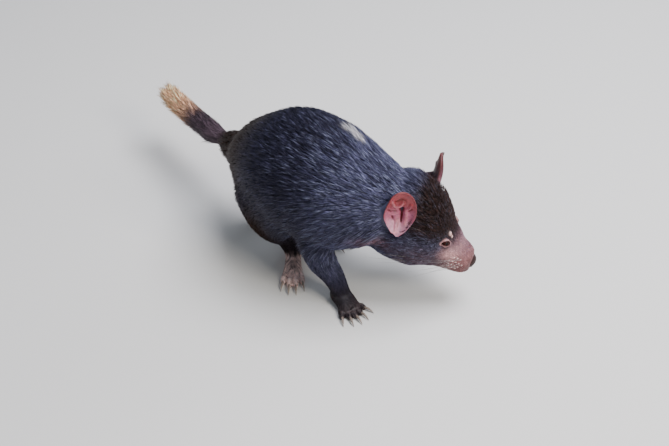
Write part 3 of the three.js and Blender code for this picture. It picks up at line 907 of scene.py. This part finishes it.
# painted shade: the pad goes near black by the depth of its dents, in the nostrils and slits
nose_tone = mixed(np.tile(np.array(NOSE_BROWN[:3]), (len(n), 1)), NOSTRIL_SHADE, ramp(dent, 1.2, 3))
give_colours(nose.data, "tone", nose_tone)
nose.data.polygons.foreach_set("use_smooth", np.ones(len(nose.data.polygons), bool))
# Bare nose skin, thick and cobbled and kept damp: soft broken highlights, never a mirror
PEBBLES_A_METRE = 1100.0  # cobbles near 1 mm
nose_stuff, out = new_material("moist_nose_skin")
tree = nose_stuff.node_tree
shade_of = add_node(tree, "ShaderNodeAttribute", {"attribute_name": "tone"})
spot = add_node(tree, "ShaderNodeTexCoord")
pebbles = add_node(
    tree, "ShaderNodeTexVoronoi", {"Scale": PEBBLES_A_METRE}, Vector=spot.outputs["Object"]
)
relief = add_node(
    tree, "ShaderNodeBump", {"Strength": 0.35, "Distance": 0.0005}, Height=pebbles.outputs["Distance"]
)
shader = add_node(
    tree,
    "ShaderNodeBsdfPrincipled",
    {
        "Roughness": 0.42,
        "Specular IOR Level": 0.26,
        "Coat Weight": 0.05,
        "Coat Roughness": 0.2,
    },
    Base_Color=shade_of.outputs["Color"],
    Normal=relief.outputs[0],
)
tree.links.new(shader.outputs[0], out.inputs[0])
nose.data.materials.append(nose_stuff)
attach(nose, "root")
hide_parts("nose")

# Ears: thin gristle cups under bare skin, grown up from the sides of the crown, with folds
# round the hollow, a dark canal with a slit below it, and a pale lobe.
EAR_FOLDS = [  # path over the cup (across, up), how far it stands up, its half width
    (((-13, 47), (-9, 38), (-4, 34), (1, 37), (3, 43)), 3.6, 2.2),
    (((-16, 26), (-8, 22), (-1, 23)), 2.4, 1.9),
    (((9, 8), (10, 18), (9, 26)), 4.0, 3.0),
    (((-4, -2), (-3, 8), (-1, 15)), 4.5, 4.2),
    (((4, 30), (4.6, 22), (4.6, 9)), -4.5, 1.5),
    (((3.4, 31), (3.6, 30)), -8.0, 2.6),
    (((-6, 44), (-1, 48), (5, 46)), -1.6, 2.2),
    (((-17, 38), (-12, 32), (-5, 30)), 2.2, 1.3),
    (((-18, 32), (-12, 27), (-4, 26.5)), -1.8, 1.2),
    (((7, 30), (12, 33), (14, 40)), 2.4, 1.6),
    (((9, 27), (13, 29), (17, 34)), -1.8, 1.2),
    (((-9, 18), (-5, 9), (-6, 1)), -2.0, 1.4),
    (((0, 20), (2, 12), (0, 4)), 1.8, 1.2),
]


def off_path(across, high, path):
    """How far points lie from a bent line."""
    nearest = np.full(len(across), 1e3)
    for (x0, y0), (x1, y1) in zip(path[:-1], path[1:]):
        dx, dy = x1 - x0, y1 - y0
        share = (((across - x0) * dx + (high - y0) * dy) / (dx * dx + dy * dy)).clip(0, 1)
        nearest = np.minimum(nearest, np.hypot(across - x0 - share * dx, high - y0 - share * dy))
    return nearest


# Ear skin, thin and full of blood: light glows through it, so it looks warmer than the face
VEINS_A_METRE = 230.0  # blotches and veins near 4 mm
EAR_PINK, EAR_RED, EAR_LOBE = srgb("#ab6179"), srgb("#8c3033"), srgb("#c48fa0")
# painted light in the hollow: shade for the grooves and the canal, a highlight for the ridges
EAR_GROOVE_SHADE, EAR_CANAL_SHADE, EAR_RIDGE_HIGHLIGHT = srgb("#6a2628"), srgb("#200a0c"), srgb("#c58088")
EAR_RIM, EAR_BACK, EAR_BACK_TIP = srgb("#8a4448"), srgb("#33262a"), srgb("#5a2c2c")
FAR_EAR_SHADE = 0.35  # the left ear's hollow lies in the head's shade and reads dark red
ear_stuff, out = new_material("thin_ear_skin")
tree = ear_stuff.node_tree
shade_of = add_node(tree, "ShaderNodeAttribute", {"attribute_name": "tone"})
spot = add_node(tree, "ShaderNodeTexCoord")
veins = add_node(
    tree, "ShaderNodeTexNoise", {"Scale": VEINS_A_METRE, "Detail": 4.0}, Vector=spot.outputs["Object"]
)
shade = add_node(
    tree,
    "ShaderNodeMapRange",
    {"From Min": 0.3, "From Max": 0.7, "To Min": 0.8, "To Max": 1.2},
    Value=veins.outputs["Fac"],
)
coloured = add_node(
    tree, "ShaderNodeVectorMath", {"operation": "MULTIPLY"}, _0=shade_of.outputs["Color"], _1=shade.outputs[0]
)
relief = add_node(tree, "ShaderNodeBump", {"Strength": 0.3, "Distance": 0.0008}, Height=veins.outputs["Fac"])
shader = add_node(
    tree,
    "ShaderNodeBsdfPrincipled",
    {
        "Roughness": 0.48,
        "Specular IOR Level": 0.4,
        "Subsurface Weight": 0.35,
        "Subsurface Radius": (0.006, 0.002, 0.0012),
    },
    Base_Color=coloured.outputs[0],
    Normal=relief.outputs[0],
)
tree.links.new(shader.outputs[0], out.inputs[0])
EAR_ROWS, EAR_COLUMNS = 72, 72
RIM_WAVE, RIM_CURL = 0.035, 1.6  # share of the width, and millimetres
for ear_name, (base, (turn, dip, roll), mirror) in EARS.items():
    t = 1 - (1 - np.repeat(np.linspace(0, 1, EAR_ROWS + 1), EAR_COLUMNS + 1)) ** 1.6
    a = np.tile(np.linspace(-1, 1, EAR_COLUMNS + 1), EAR_ROWS + 1)
    high = EAR_LENGTH * (t * 1.16 - 0.16)
    half, depth = ear_section(t)
    off_tip = ramp(-t, -1, -0.8)
    wave = 1 + RIM_WAVE * np.sin(9 * t + 2 * np.sign(a)) * ramp(np.abs(a), 0.5, 1) * off_tip
    across = half * a * wave
    cup = -depth * (1 - a**2)
    cup -= RIM_CURL * np.sin(7 * t + 1.5 * a) * ramp(np.abs(a), 0.6, 1) * ramp(t, 0.05, 0.2) * off_tip
    rim = np.maximum(ramp(np.abs(a), 0.8, 1), ramp(t, 0.9, 1))
    raised = np.zeros(len(t))
    for path, lift, wide in EAR_FOLDS:
        raised += lift * np.exp(-((off_path(across * mirror, high, path) / wide) ** 2))
    raised *= 1 - rim
    inner = cup + 1.5 + 1.2 * rim + raised
    outer = np.minimum(cup, inner - 1.3)
    outer_points = np.stack([outer, across, high], -1)
    inner_points = np.stack([inner, across * (1 - 0.02 * rim), high], -1)
    grid = np.arange(len(t)).reshape(EAR_ROWS + 1, EAR_COLUMNS + 1)
    quad = np.stack([grid[:-1, :-1], grid[:-1, 1:], grid[1:, 1:], grid[1:, :-1]], -1).reshape(-1, 4)
    rim_line = np.concatenate([grid[0], grid[1:, -1], grid[-1, -2::-1], grid[-2:0:-1, 0]])
    after = np.roll(rim_line, -1)
    side_quads = np.stack([rim_line, after, after + len(t), rim_line + len(t)], -1)
    faces = [*quad[:, ::-1].tolist(), *(quad + len(t)).tolist(), *side_quads.tolist()]
    ear_axes = HEAD_AXES @ turned(*(math.radians(v) for v in (turn, dip, roll)))
    shape = head_point(*base) + np.vstack([outer_points, inner_points]) @ ear_axes.T
    ear = new_mesh(f"ear_skin_{ear_name}", shape, faces)
    tint = np.tile(np.array(EAR_PINK[:3]), (len(t), 1))
    tint = mixed(tint, EAR_RED, 0.9 * ramp(high, 22, 42))
    tint = mixed(tint, EAR_LOBE, 0.85 * ramp(-high, -20, -8))
    # painted shade in the grooves and the canal, by how deep they lie, and a painted highlight on the raised
    # folds
    tint = mixed(tint, EAR_GROOVE_SHADE, 0.9 * ramp(-raised, 0.15, 1.3))
    tint = mixed(tint, EAR_CANAL_SHADE, ramp(-raised, 2.2, 5.5))
    tint = mixed(tint, EAR_RIDGE_HIGHLIGHT, 0.5 * ramp(raised, 1.2, 3.4))
    tint = mixed(tint, EAR_RIM, 0.55 * rim * ramp(high, 5, 25))
    if ear_name == "left":
        tint = tint * FAR_EAR_SHADE
    outside = mixed(np.tile(np.array(EAR_BACK[:3]), (len(t), 1)), EAR_BACK_TIP, ramp(high, 30, 60))
    give_colours(ear.data, "tone", np.vstack([outside, tint]))
    ear.data.materials.append(ear_stuff)
    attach(ear, "root")
    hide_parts(f"ear_{ear_name}")

# Claws: long, curved horn that grows from the end of every toe, blunt from digging. They are
# held clear of the floor by the toes, and none is drawn in.
CLAW_TIP, CLAW_BEND = 12.5, 8  # how far past the toe the point and the bend reach
FLOOR_GAP = 0.1  # no claw and no hair goes lower than this
# Worn horn, grown in layers: brown and grey-brown streaks under a dull scratched polish
STREAKS_A_METRE = 700.0  # streaks near 1.5 mm
claw_stuff, out = new_material("worn_horn")
tree = claw_stuff.node_tree
spot = add_node(tree, "ShaderNodeTexCoord")
grain = add_node(
    tree, "ShaderNodeTexNoise", {"Scale": STREAKS_A_METRE, "Detail": 3.0}, Vector=spot.outputs["Object"]
)
horn = add_node(tree, "ShaderNodeValToRGB", Fac=grain.outputs["Fac"])
horn.color_ramp.elements[0].color = srgb("#574a42")
horn.color_ramp.elements[1].color = srgb("#a39488")
shader = add_node(
    tree,
    "ShaderNodeBsdfPrincipled",
    {"Roughness": 0.35, "IOR": 1.54},
    Base_Color=horn.outputs["Color"],
)
tree.links.new(shader.outputs[0], out.inputs[0])
claw_parts = {name: [] for name in PAWS}
for name, root, axes, length in toes:
    claw = [
        (length * 0.78, 0, 1, 1.9, 2.1, 1.9),
        (length + 3, 0, 1.5, 1.7, 1.9, 1.7),
        (length + CLAW_BEND, 0, 0, 1.1, 1.2, 1.1),
        (length + CLAW_TIP, 0, -3.2, 0.35, 0.4, 0.35),
    ]
    claw_parts[name].append(Form(claw, axes, root).mesh(18, 14))
for name, parts in claw_parts.items():
    horn_points, faces = gathered(parts)
    horn_points[:, 2] = np.maximum(horn_points[:, 2], FLOOR_GAP)
    claws = new_mesh(f"claws_{name}", horn_points, faces)
    claws.data.materials.append(claw_stuff)
    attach(claws, "root")

# Coat: short dense guard hair that grows out of the skin in fine overlapping tufts. It lies
# back from the nose, droops on the flanks and runs down the legs, long on the body and the
# forehead, short on the face and shortest on the feet.
rng = np.random.default_rng(11)
skin.data.calc_loop_triangles()
corners = np.empty(len(skin.data.loop_triangles) * 3, np.int64)
skin.data.loop_triangles.foreach_get("vertices", corners)
corners = corners.reshape(-1, 3)
points = local_points(skin.data)
normal = normals_of(skin.data)
first, second, third = (points[corners[:, k]] for k in range(3))
area = np.linalg.norm(np.cross(second - first, third - first), axis=1) / 2
TRIS_A_PIECE = 195000
SECTIONS = {  # shares of a tuft's length and its breadth at each, by the number of sections
    3: ((0, 0.5, 1), (0.75, 1, 0)),
    4: ((0, 0.35, 0.7, 1), (0.7, 1, 0.75, 0)),
}
PATCH = 0.003  # side of each tuft's own patch of the unwrap
ATLAS = {  # lower left corner and size of each form's place on the coat's unwrap
    "trunk": (0.01, 0.01, 0.58, 0.56),
    "head": (0.61, 0.01, 0.37, 0.5),
    "tail": (0.01, 0.6, 0.3, 0.3),
    "front_right": (0.33, 0.6, 0.15, 0.3),
    "front_left": (0.5, 0.6, 0.15, 0.3),
    "hind_right": (0.67, 0.6, 0.15, 0.3),
    "hind_left": (0.83, 0.6, 0.15, 0.3),
}


def unwrap_of(region, places):
    uv = np.zeros((len(region), 2))
    for i, name in enumerate(FORMS):
        u0, v0, wide, high = ATLAS[name]
        t, angle = places[name][0], places[name][1]
        spot = np.stack([u0 + wide * t, v0 + high * (angle / (2 * math.pi) + 0.5)], -1)
        uv[region == i] = spot[region == i]
    return uv


skin_uv = unwrap_of(region, places)


ROOT_DEPTH = 0.6  # how far under the skin a tuft starts
ROOT_SHADE, TIP_GAIN = 0.7, 0.5  # tufts are darker at the root and lighter at the tip


def scattered(density):
    """Even roots over the skin by a density per square millimetre at its vertices."""
    weight = np.cumsum(area * density[corners].mean(1))
    count = int(weight[-1])
    picked = np.searchsorted(weight, (np.arange(count) + rng.random(count)) * weight[-1] / count)
    picked = picked.clip(0, len(corners) - 1)
    a, b = rng.random(count), rng.random(count)
    a, b = np.where(a + b > 1, 1 - a, a), np.where(a + b > 1, 1 - b, b)
    bary = np.stack([1 - a - b, a, b], -1)
    return picked, bary


def at_roots(values, picked, bary):
    shaped = values[corners[picked]]
    return np.einsum("nkc,nk->nc", shaped, bary) if values.ndim == 2 else (shaped * bary).sum(1)


def grow(
    piece_name,
    root,
    out_dir,
    lie,
    length,
    width,
    lift,
    tint,
    uv,
    material,
    slot,
    sections=3,
    curl=0.45,
    clump=0.0,
    replaces=(),
):
    """Makes tapered three-sided tufts and splits them into pieces.

    Tips share a clump's point by a part of the way, and every tuft sways and rolls a little.
    """
    count = len(root)
    lie = unit(lie - out_dir * (lie * out_dir).sum(1)[:, None])
    aside = np.cross(out_dir, lie)
    sway = rng.normal(0, 0.13, count)[:, None]
    lie = unit(lie + aside * sway)
    aside = np.cross(out_dir, lie)
    tip = root + lie * (length * np.cos(lift))[:, None]
    pulled = np.zeros_like(root)
    if clump:
        centres = rng.choice(count, max(1, count // 9), replace=False)
        tree = kdtree.KDTree(len(centres))
        for i, c in enumerate(centres):
            tree.insert(root[c], i)
        tree.balance()
        nearest = np.array([tree.find(p)[1] for p in root])
        goal = tip[centres[nearest]]
        pulled = (goal - tip) * clump
        pulled -= out_dir * (pulled * out_dir).sum(1)[:, None]
    roll = rng.normal(0, 0.45, count)[:, None]
    flat = aside * np.cos(roll) + out_dir * np.sin(roll)
    ridge = out_dir * np.cos(roll) - aside * np.sin(roll)
    shares, breadths = SECTIONS[sections]
    verts, uvs = [], []
    side_bend = rng.normal(0, 0.05, count)[:, None] * length[:, None] * aside
    for s, breadth in zip(shares, breadths):
        rise = length * np.sin(lift) * (s - curl * s * s) - ROOT_DEPTH * (1 - s)
        centre = root + lie * (length * np.cos(lift) * s)[:, None] + out_dir * rise[:, None]
        centre = centre + (pulled + side_bend) * s * s
        if breadth == 0:
            verts.append(centre)
            uvs.append(uv + [PATCH / 2, PATCH])
            continue
        w = (width * breadth)[:, None]
        verts += [centre - flat * w / 2, centre + ridge * w * 0.4, centre + flat * w / 2]
        uvs += [uv + [0, PATCH * s * 0.9], uv + [PATCH / 2, PATCH * s * 0.9], uv + [PATCH, PATCH * s * 0.9]]
    verts, uvs = np.stack(verts, 1), np.stack(uvs, 1)
    verts[..., 2] = np.maximum(verts[..., 2], FLOOR_GAP)
    size = verts.shape[1]
    tris = [(0, 2, 1)]
    for k in range(sections - 2):
        low, top = k * 3, k * 3 + 3
        for i in range(3):
            j = (i + 1) % 3
            tris += [(low + i, low + j, top + j), (low + i, top + j, top + i)]
    last = (sections - 2) * 3
    tris += [(last + i, last + (i + 1) % 3, size - 1) for i in range(3)]
    tris = np.array(tris)
    pieces = max(1, math.ceil(count * len(tris) / TRIS_A_PIECE))
    order = np.argsort(root[:, 0], kind="stable")
    for k, chosen in enumerate(np.array_split(order, pieces)):
        name = piece_name if pieces == 1 else f"{piece_name}_{k + 1}"
        mesh = bpy.data.meshes.new(name)
        v = metres(verts[chosen].reshape(-1, 3)).astype(np.float32)
        f = (tris[None] + np.arange(len(chosen))[:, None, None] * size).reshape(-1)
        mesh.vertices.add(len(v))
        mesh.vertices.foreach_set("co", v.ravel())
        mesh.loops.add(len(f))
        mesh.loops.foreach_set("vertex_index", f.astype(np.int32))
        mesh.polygons.add(len(f) // 3)
        mesh.polygons.foreach_set("loop_start", np.arange(0, len(f), 3, dtype=np.int32))
        mesh.polygons.foreach_set("use_smooth", np.ones(len(f) // 3, bool))
        mesh.update(calc_edges=True)
        layer = mesh.uv_layers.new(name="OFBake")
        layer.data.foreach_set("uv", uvs[chosen].reshape(-1, 2)[f].astype(np.float32).ravel())
        fade = np.array([s for s, b in zip(shares, breadths) for _ in range(1 if b == 0 else 3)])
        colours = tint[chosen][:, None, :] * (ROOT_SHADE + TIP_GAIN * fade)[None, :, None]
        give_colours(mesh, "tone", colours.reshape(-1, 3))
        mesh.materials.append(material)
        piece = bpy.data.objects.new(name, mesh)
        bpy.context.scene.collection.objects.link(piece)
        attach(piece, "root")
        if replaces and k == 0:
            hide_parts(*replaces)


# Guard hair: stiff straight keratin with a soft gloss, near black to the eye. The tufts carry
# painted blue-grey sheen along the lie of the coat, and dark brown with painted shade on the rump
hair_stuff, out = new_material("guard_hair")
tree = hair_stuff.node_tree
shade_of = add_node(tree, "ShaderNodeAttribute", {"attribute_name": "tone"})
shader = add_node(
    tree,
    "ShaderNodeBsdfPrincipled",
    {"Roughness": 0.48, "Specular IOR Level": 0.17, "Specular Tint": srgb("#d9c6b8")},
    Base_Color=shade_of.outputs["Color"],
)
tree.links.new(shader.outputs[0], out.inputs[0])

belly = ramp(-normal[:, 2], 0.1, 0.8)
ruffle = np.exp(-(((h[:, 0] - 32) / 34) ** 2)) * ramp(h[:, 2], 34, 52) * on_head
CROWN_HAIR, FACE_TRIM, FOREHEAD_HAIR = 9.5, 6.6, 9  # the face's is shorter, the forehead's longer
BACK_HAIR, BELLY_HAIR, THIGH_HAIR, FOOT_HAIR, TAIL_HAIR = 20, 22, 14, 3.5, 22
BODY_LIFT, FACE_LIFT, FOREHEAD_LIFT = 22, 14, 24  # degrees off the skin
THIGH_LIFT, FOOT_LIFT, TAIL_LIFT = 24, 12, 10
HEAD_COVER, BODY_COVER = 2.22, 2.82  # layers of hair over every point
MOST_TUFTS = 2.7  # to a square millimetre
head_length = CROWN_HAIR - FACE_TRIM * face + FOREHEAD_HAIR * ruffle
leg_length = THIGH_HAIR - (THIGH_HAIR - FOOT_HAIR) * ramp(-points[:, 2], -110, -16)
coat_length = np.where(on_head, head_length, BACK_HAIR + (BELLY_HAIR - BACK_HAIR) * belly)
coat_length = np.where(on_leg, leg_length, coat_length)
coat_length = np.where(on_tail, TAIL_HAIR, coat_length)
coat_length = np.where(near_ear > 0, (0.5 + 0.9 * at_lobe) * coat_length, coat_length)
coat_length = eased(coat_length[:, None], edges, 12, 0.5)[:, 0]
coat_width = 0.35 + 0.042 * coat_length
head_lift = BODY_LIFT - (BODY_LIFT - FACE_LIFT) * face + FOREHEAD_LIFT * ruffle
coat_lift = np.radians(np.where(on_head, head_lift, BODY_LIFT))
coat_lift = np.where(on_leg, np.radians(THIGH_LIFT - (THIGH_LIFT - FOOT_LIFT) * foot), coat_lift)
coat_lift = np.where(on_tail, np.radians(TAIL_LIFT), coat_lift)
wanted_cover = np.where(on_head, HEAD_COVER, BODY_COVER)
density = wanted_cover * 2 / (coat_length * coat_width)
open_skin = (past_eye > 1.8 + 2.0 * (h[:, 2] < 25)) | ~on_head
no_hair = (over_mouth > -3.4) & (over_mouth < 1.6) & (h[:, 0] > 96) & on_head
hairy = open_skin & ~no_hair & (bumpy < 0.05) & (warty < 0.2) & (in_ear < 0.5)
thinner_muzzle = 1 - 0.35 * ramp(h[:, 0], 100, 122) * on_head
bare_nose_end = 1 - 0.7 * ramp(h[:, 0], 126, 140) * on_head
density *= hairy * thinner_muzzle * bare_nose_end
density *= np.where(on_leg, ramp(points[:, 2], 3.5, 8) * (1 - np.where(hind, 0.6, 0.42) * foot), 1)
density = np.minimum(density, MOST_TUFTS)
# blue-grey streaks of painted sheen
PAINTED_SHEEN_STREAK = srgb("#8287a0")
groups = {
    "trunk_coat": on_trunk,
    "head_coat": on_head,
    **{f"{name}_coat": region == REGION[name] for name in legs},
    "tail_root_coat": on_tail & (points[:, 0] > -172),
}
for name, mask in groups.items():
    picked, bary = scattered(density * mask)
    root = at_roots(points, picked, bary)
    hl = in_head(root)
    tint = at_roots(tone, picked, bary)
    count = len(root)
    comb = at_roots(combed, picked, bary)
    tint = tint * np.exp(0.3 * comb + rng.normal(0, 0.3, count))[:, None]
    # painted sheen: pale streaks in the tufts, most towards the sunlit front, fewest low down and on the rump
    sheen_streak = rng.random(count) < 0.1 + 0.16 * (comb > 0.6) + 0.12 * ramp(root[:, 0], 60, 150)
    crown = ramp(hl[:, 0], 10, 30) * ramp(hl[:, 2], 26, 44)
    sunny = (0.06 + 0.94 * ramp(root[:, 0], -20, 110)) * (1 - 0.8 * crown) * ramp(root[:, 2], 45, 90)
    tint = mixed(tint, PAINTED_SHEEN_STREAK, sheen_streak * sunny * rng.uniform(0.2, 0.9, count) * (hl[:, 0] < 90))
    scale = rng.uniform(0.72, 1.2, count)
    grow(
        name,
        root,
        unit(at_roots(normal, picked, bary)),
        at_roots(flow, picked, bary),
        at_roots(coat_length, picked, bary) * scale,
        at_roots(coat_width, picked, bary) * rng.uniform(0.7, 1.2, count),
        at_roots(coat_lift, picked, bary) * rng.uniform(0.7, 1.25, count),
        tint,
        at_roots(skin_uv, picked, bary),
        hair_stuff,
        "coat",
        clump=0.45,
    )

# Brush of the tail: long coarse hair that grows all round the core of the tail, spreads
# backwards in loose locks, and frays into a pale tip.
BRUSH_OUTLINE = Form(
    [  # x, y, z, half width, rise and drop, in the body's millimetres
        (-160, 38, 127, 13.5, 13.5, 13.5),
        (-176, 41, 124, 14.5, 14.5, 14.5),
        (-226, 52, 117, 16, 16, 16),
        (-280, 64, 113, 17.5, 17.5, 17.5),
        (-330, 76, 113, 18, 18, 18),
        (-366, 84, 115, 11, 11, 11),
    ]
)
# Brush hair: longer and coarser than the coat, drier and duller, mauve-grey then cream
brush_stuff, out = new_material("brush_hair")
tree = brush_stuff.node_tree
shade_of = add_node(tree, "ShaderNodeAttribute", {"attribute_name": "tone"})
shader = add_node(
    tree,
    "ShaderNodeBsdfPrincipled",
    {"Roughness": 0.5, "Specular IOR Level": 0.3},
    Base_Color=shade_of.outputs["Color"],
)
tree.links.new(shader.outputs[0], out.inputs[0])
BRUSH_TUFTS = 9000
BRUSH_STATIONS = [0, 0.1, 0.35, 0.6, 0.8]  # shares of the outline where the next two are given
CORE_RADII = [10.5, 9.5, 7.5, 5.5, 2.5]
BRUSH_RADII = [13, 14.5, 16, 17.5, 18]
BRUSH_HAIR = (34, 60)  # shortest and longest
OUTLINE_LENGTH, TIP_GAP, FRAY, FRAYED_FROM = 208, 10, (-30, 12), 0.35
t_root = rng.beta(1.0, 1.15, BRUSH_TUFTS) * BRUSH_STATIONS[-1]
angle = rng.uniform(0, 2 * np.pi, BRUSH_TUFTS)
centre, ahead, up, side = BRUSH_OUTLINE.frame(t_root)
outwards = side * np.cos(angle)[:, None] + up * np.sin(angle)[:, None]
core = np.interp(t_root, BRUSH_STATIONS, CORE_RADII) - 0.8
root = centre + outwards * core[:, None]
run = rng.uniform(*BRUSH_HAIR, BRUSH_TUFTS)
room = np.interp(t_root, BRUSH_STATIONS, BRUSH_RADII) - core
lift = np.arcsin((room * rng.uniform(0.35, 1.25, BRUSH_TUFTS) / run / 0.55).clip(0.02, 0.6))
frayed = rng.uniform(*FRAY, BRUSH_TUFTS) * (t_root > FRAYED_FROM)
run = np.minimum(run, (1.0 - t_root) * OUTLINE_LENGTH - TIP_GAP + frayed)
shown = root + ahead * (run * 0.5)[:, None]
tint = coat_tone(shown, in_head(shown))
tint = tint * np.exp(rng.normal(0, 0.28, BRUSH_TUFTS))[:, None]
brush_uv = np.stack([0.01 + 0.3 * t_root, 0.6 + 0.3 * angle / (2 * np.pi)], -1)
grow(
    "tail_brush_coat",
    root,
    unit(outwards),
    ahead,
    run,
    rng.uniform(0.8, 1.6, BRUSH_TUFTS),
    lift,
    tint,
    brush_uv,
    brush_stuff,
    "brush_hair",
    sections=4,
    clump=0.55,
    replaces=("tail_brush",),
)

# Whiskers: long stiff bristles, each grown from a bump of the muzzle, from the cheek or from
# a wart, that taper to nothing and sweep back and down.
# Bristle, a thick clear hair: pale and smooth, so it shows as a thin bright line
whisker_stuff, out = new_material("whisker_bristle")
shader = add_node(
    whisker_stuff.node_tree,
    "ShaderNodeBsdfPrincipled",
    {"Base Color": srgb("#a39c9a"), "Roughness": 0.35},
)
whisker_stuff.node_tree.links.new(shader.outputs[0], out.inputs[0])
CHEEK_WHISKERS = [(72, -6), (68, -12), (74, -16), (64, -19), (60, -4)]
MUZZLE_RADII = (0.16, 0.14, 0.09, 0.03)
CHEEK_RADII = (0.2, 0.18, 0.12, 0.03)
BROW_RADII = (0.11, 0.1, 0.07, 0.03)
head_co = in_head(points)


def side_of_face(x, z, side):
    """The point of the skin that lies at x and z on one side of the head."""
    apart = np.hypot(head_co[:, 0] - x, head_co[:, 2] - z) + FAR_OFF * (head_co[:, 1] * side < 6)
    return head_co[apart.argmin()]


def bristle(start, way, drop, length, radii):
    """A tapered hair that leaves a point one way and droops."""
    path = [start + way * length * s + drop * length * s * s * 0.5 for s in (0, 0.33, 0.66, 1)]
    stations = [(*p, r, r, r) for p, r in zip(path, radii)]
    return Form(stations, HEAD_AXES, HEAD_AT_MM).mesh(10, 4, 0)


whisker_parts = []
for side in (1, -1):
    sources = [(x, z, rng.uniform(26, 48)) for x, z in WHISKER_BUMPS]
    for x, z, length in sources:
        way = np.array([-0.78 + rng.normal(0, 0.12), side * 0.62, -0.42 + rng.normal(0, 0.14)])
        drop = np.array([-0.35, -0.1 * side, -0.3])
        whisker_parts.append(bristle(side_of_face(x, z, side), way, drop, length, MUZZLE_RADII))
    for x, z in CHEEK_WHISKERS:
        length = rng.uniform(48, 70)
        way = np.array([-0.9 + rng.normal(0, 0.06), side * 0.34, -0.3 + rng.normal(0, 0.1)])
        drop = np.array([-0.1, -0.2 * side, -0.35])
        whisker_parts.append(bristle(side_of_face(x, z, side), way, drop, length, CHEEK_RADII))
    for x, y, z, _, _ in WARTS:
        for _ in range(2 if x > 80 else 1):
            length = rng.uniform(22, 38)
            way = np.array([-0.8 + rng.normal(0, 0.15), side * 0.45, 0.35 + rng.normal(0, 0.15)])
            drop = np.array([-0.3, 0, -0.45])
            whisker_parts.append(bristle(np.array([x, side * y, z]), way, drop, length, BROW_RADII))
whiskers = new_mesh("whiskers", *gathered(whisker_parts))
whiskers.data.materials.append(whisker_stuff)
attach(whiskers, "root")
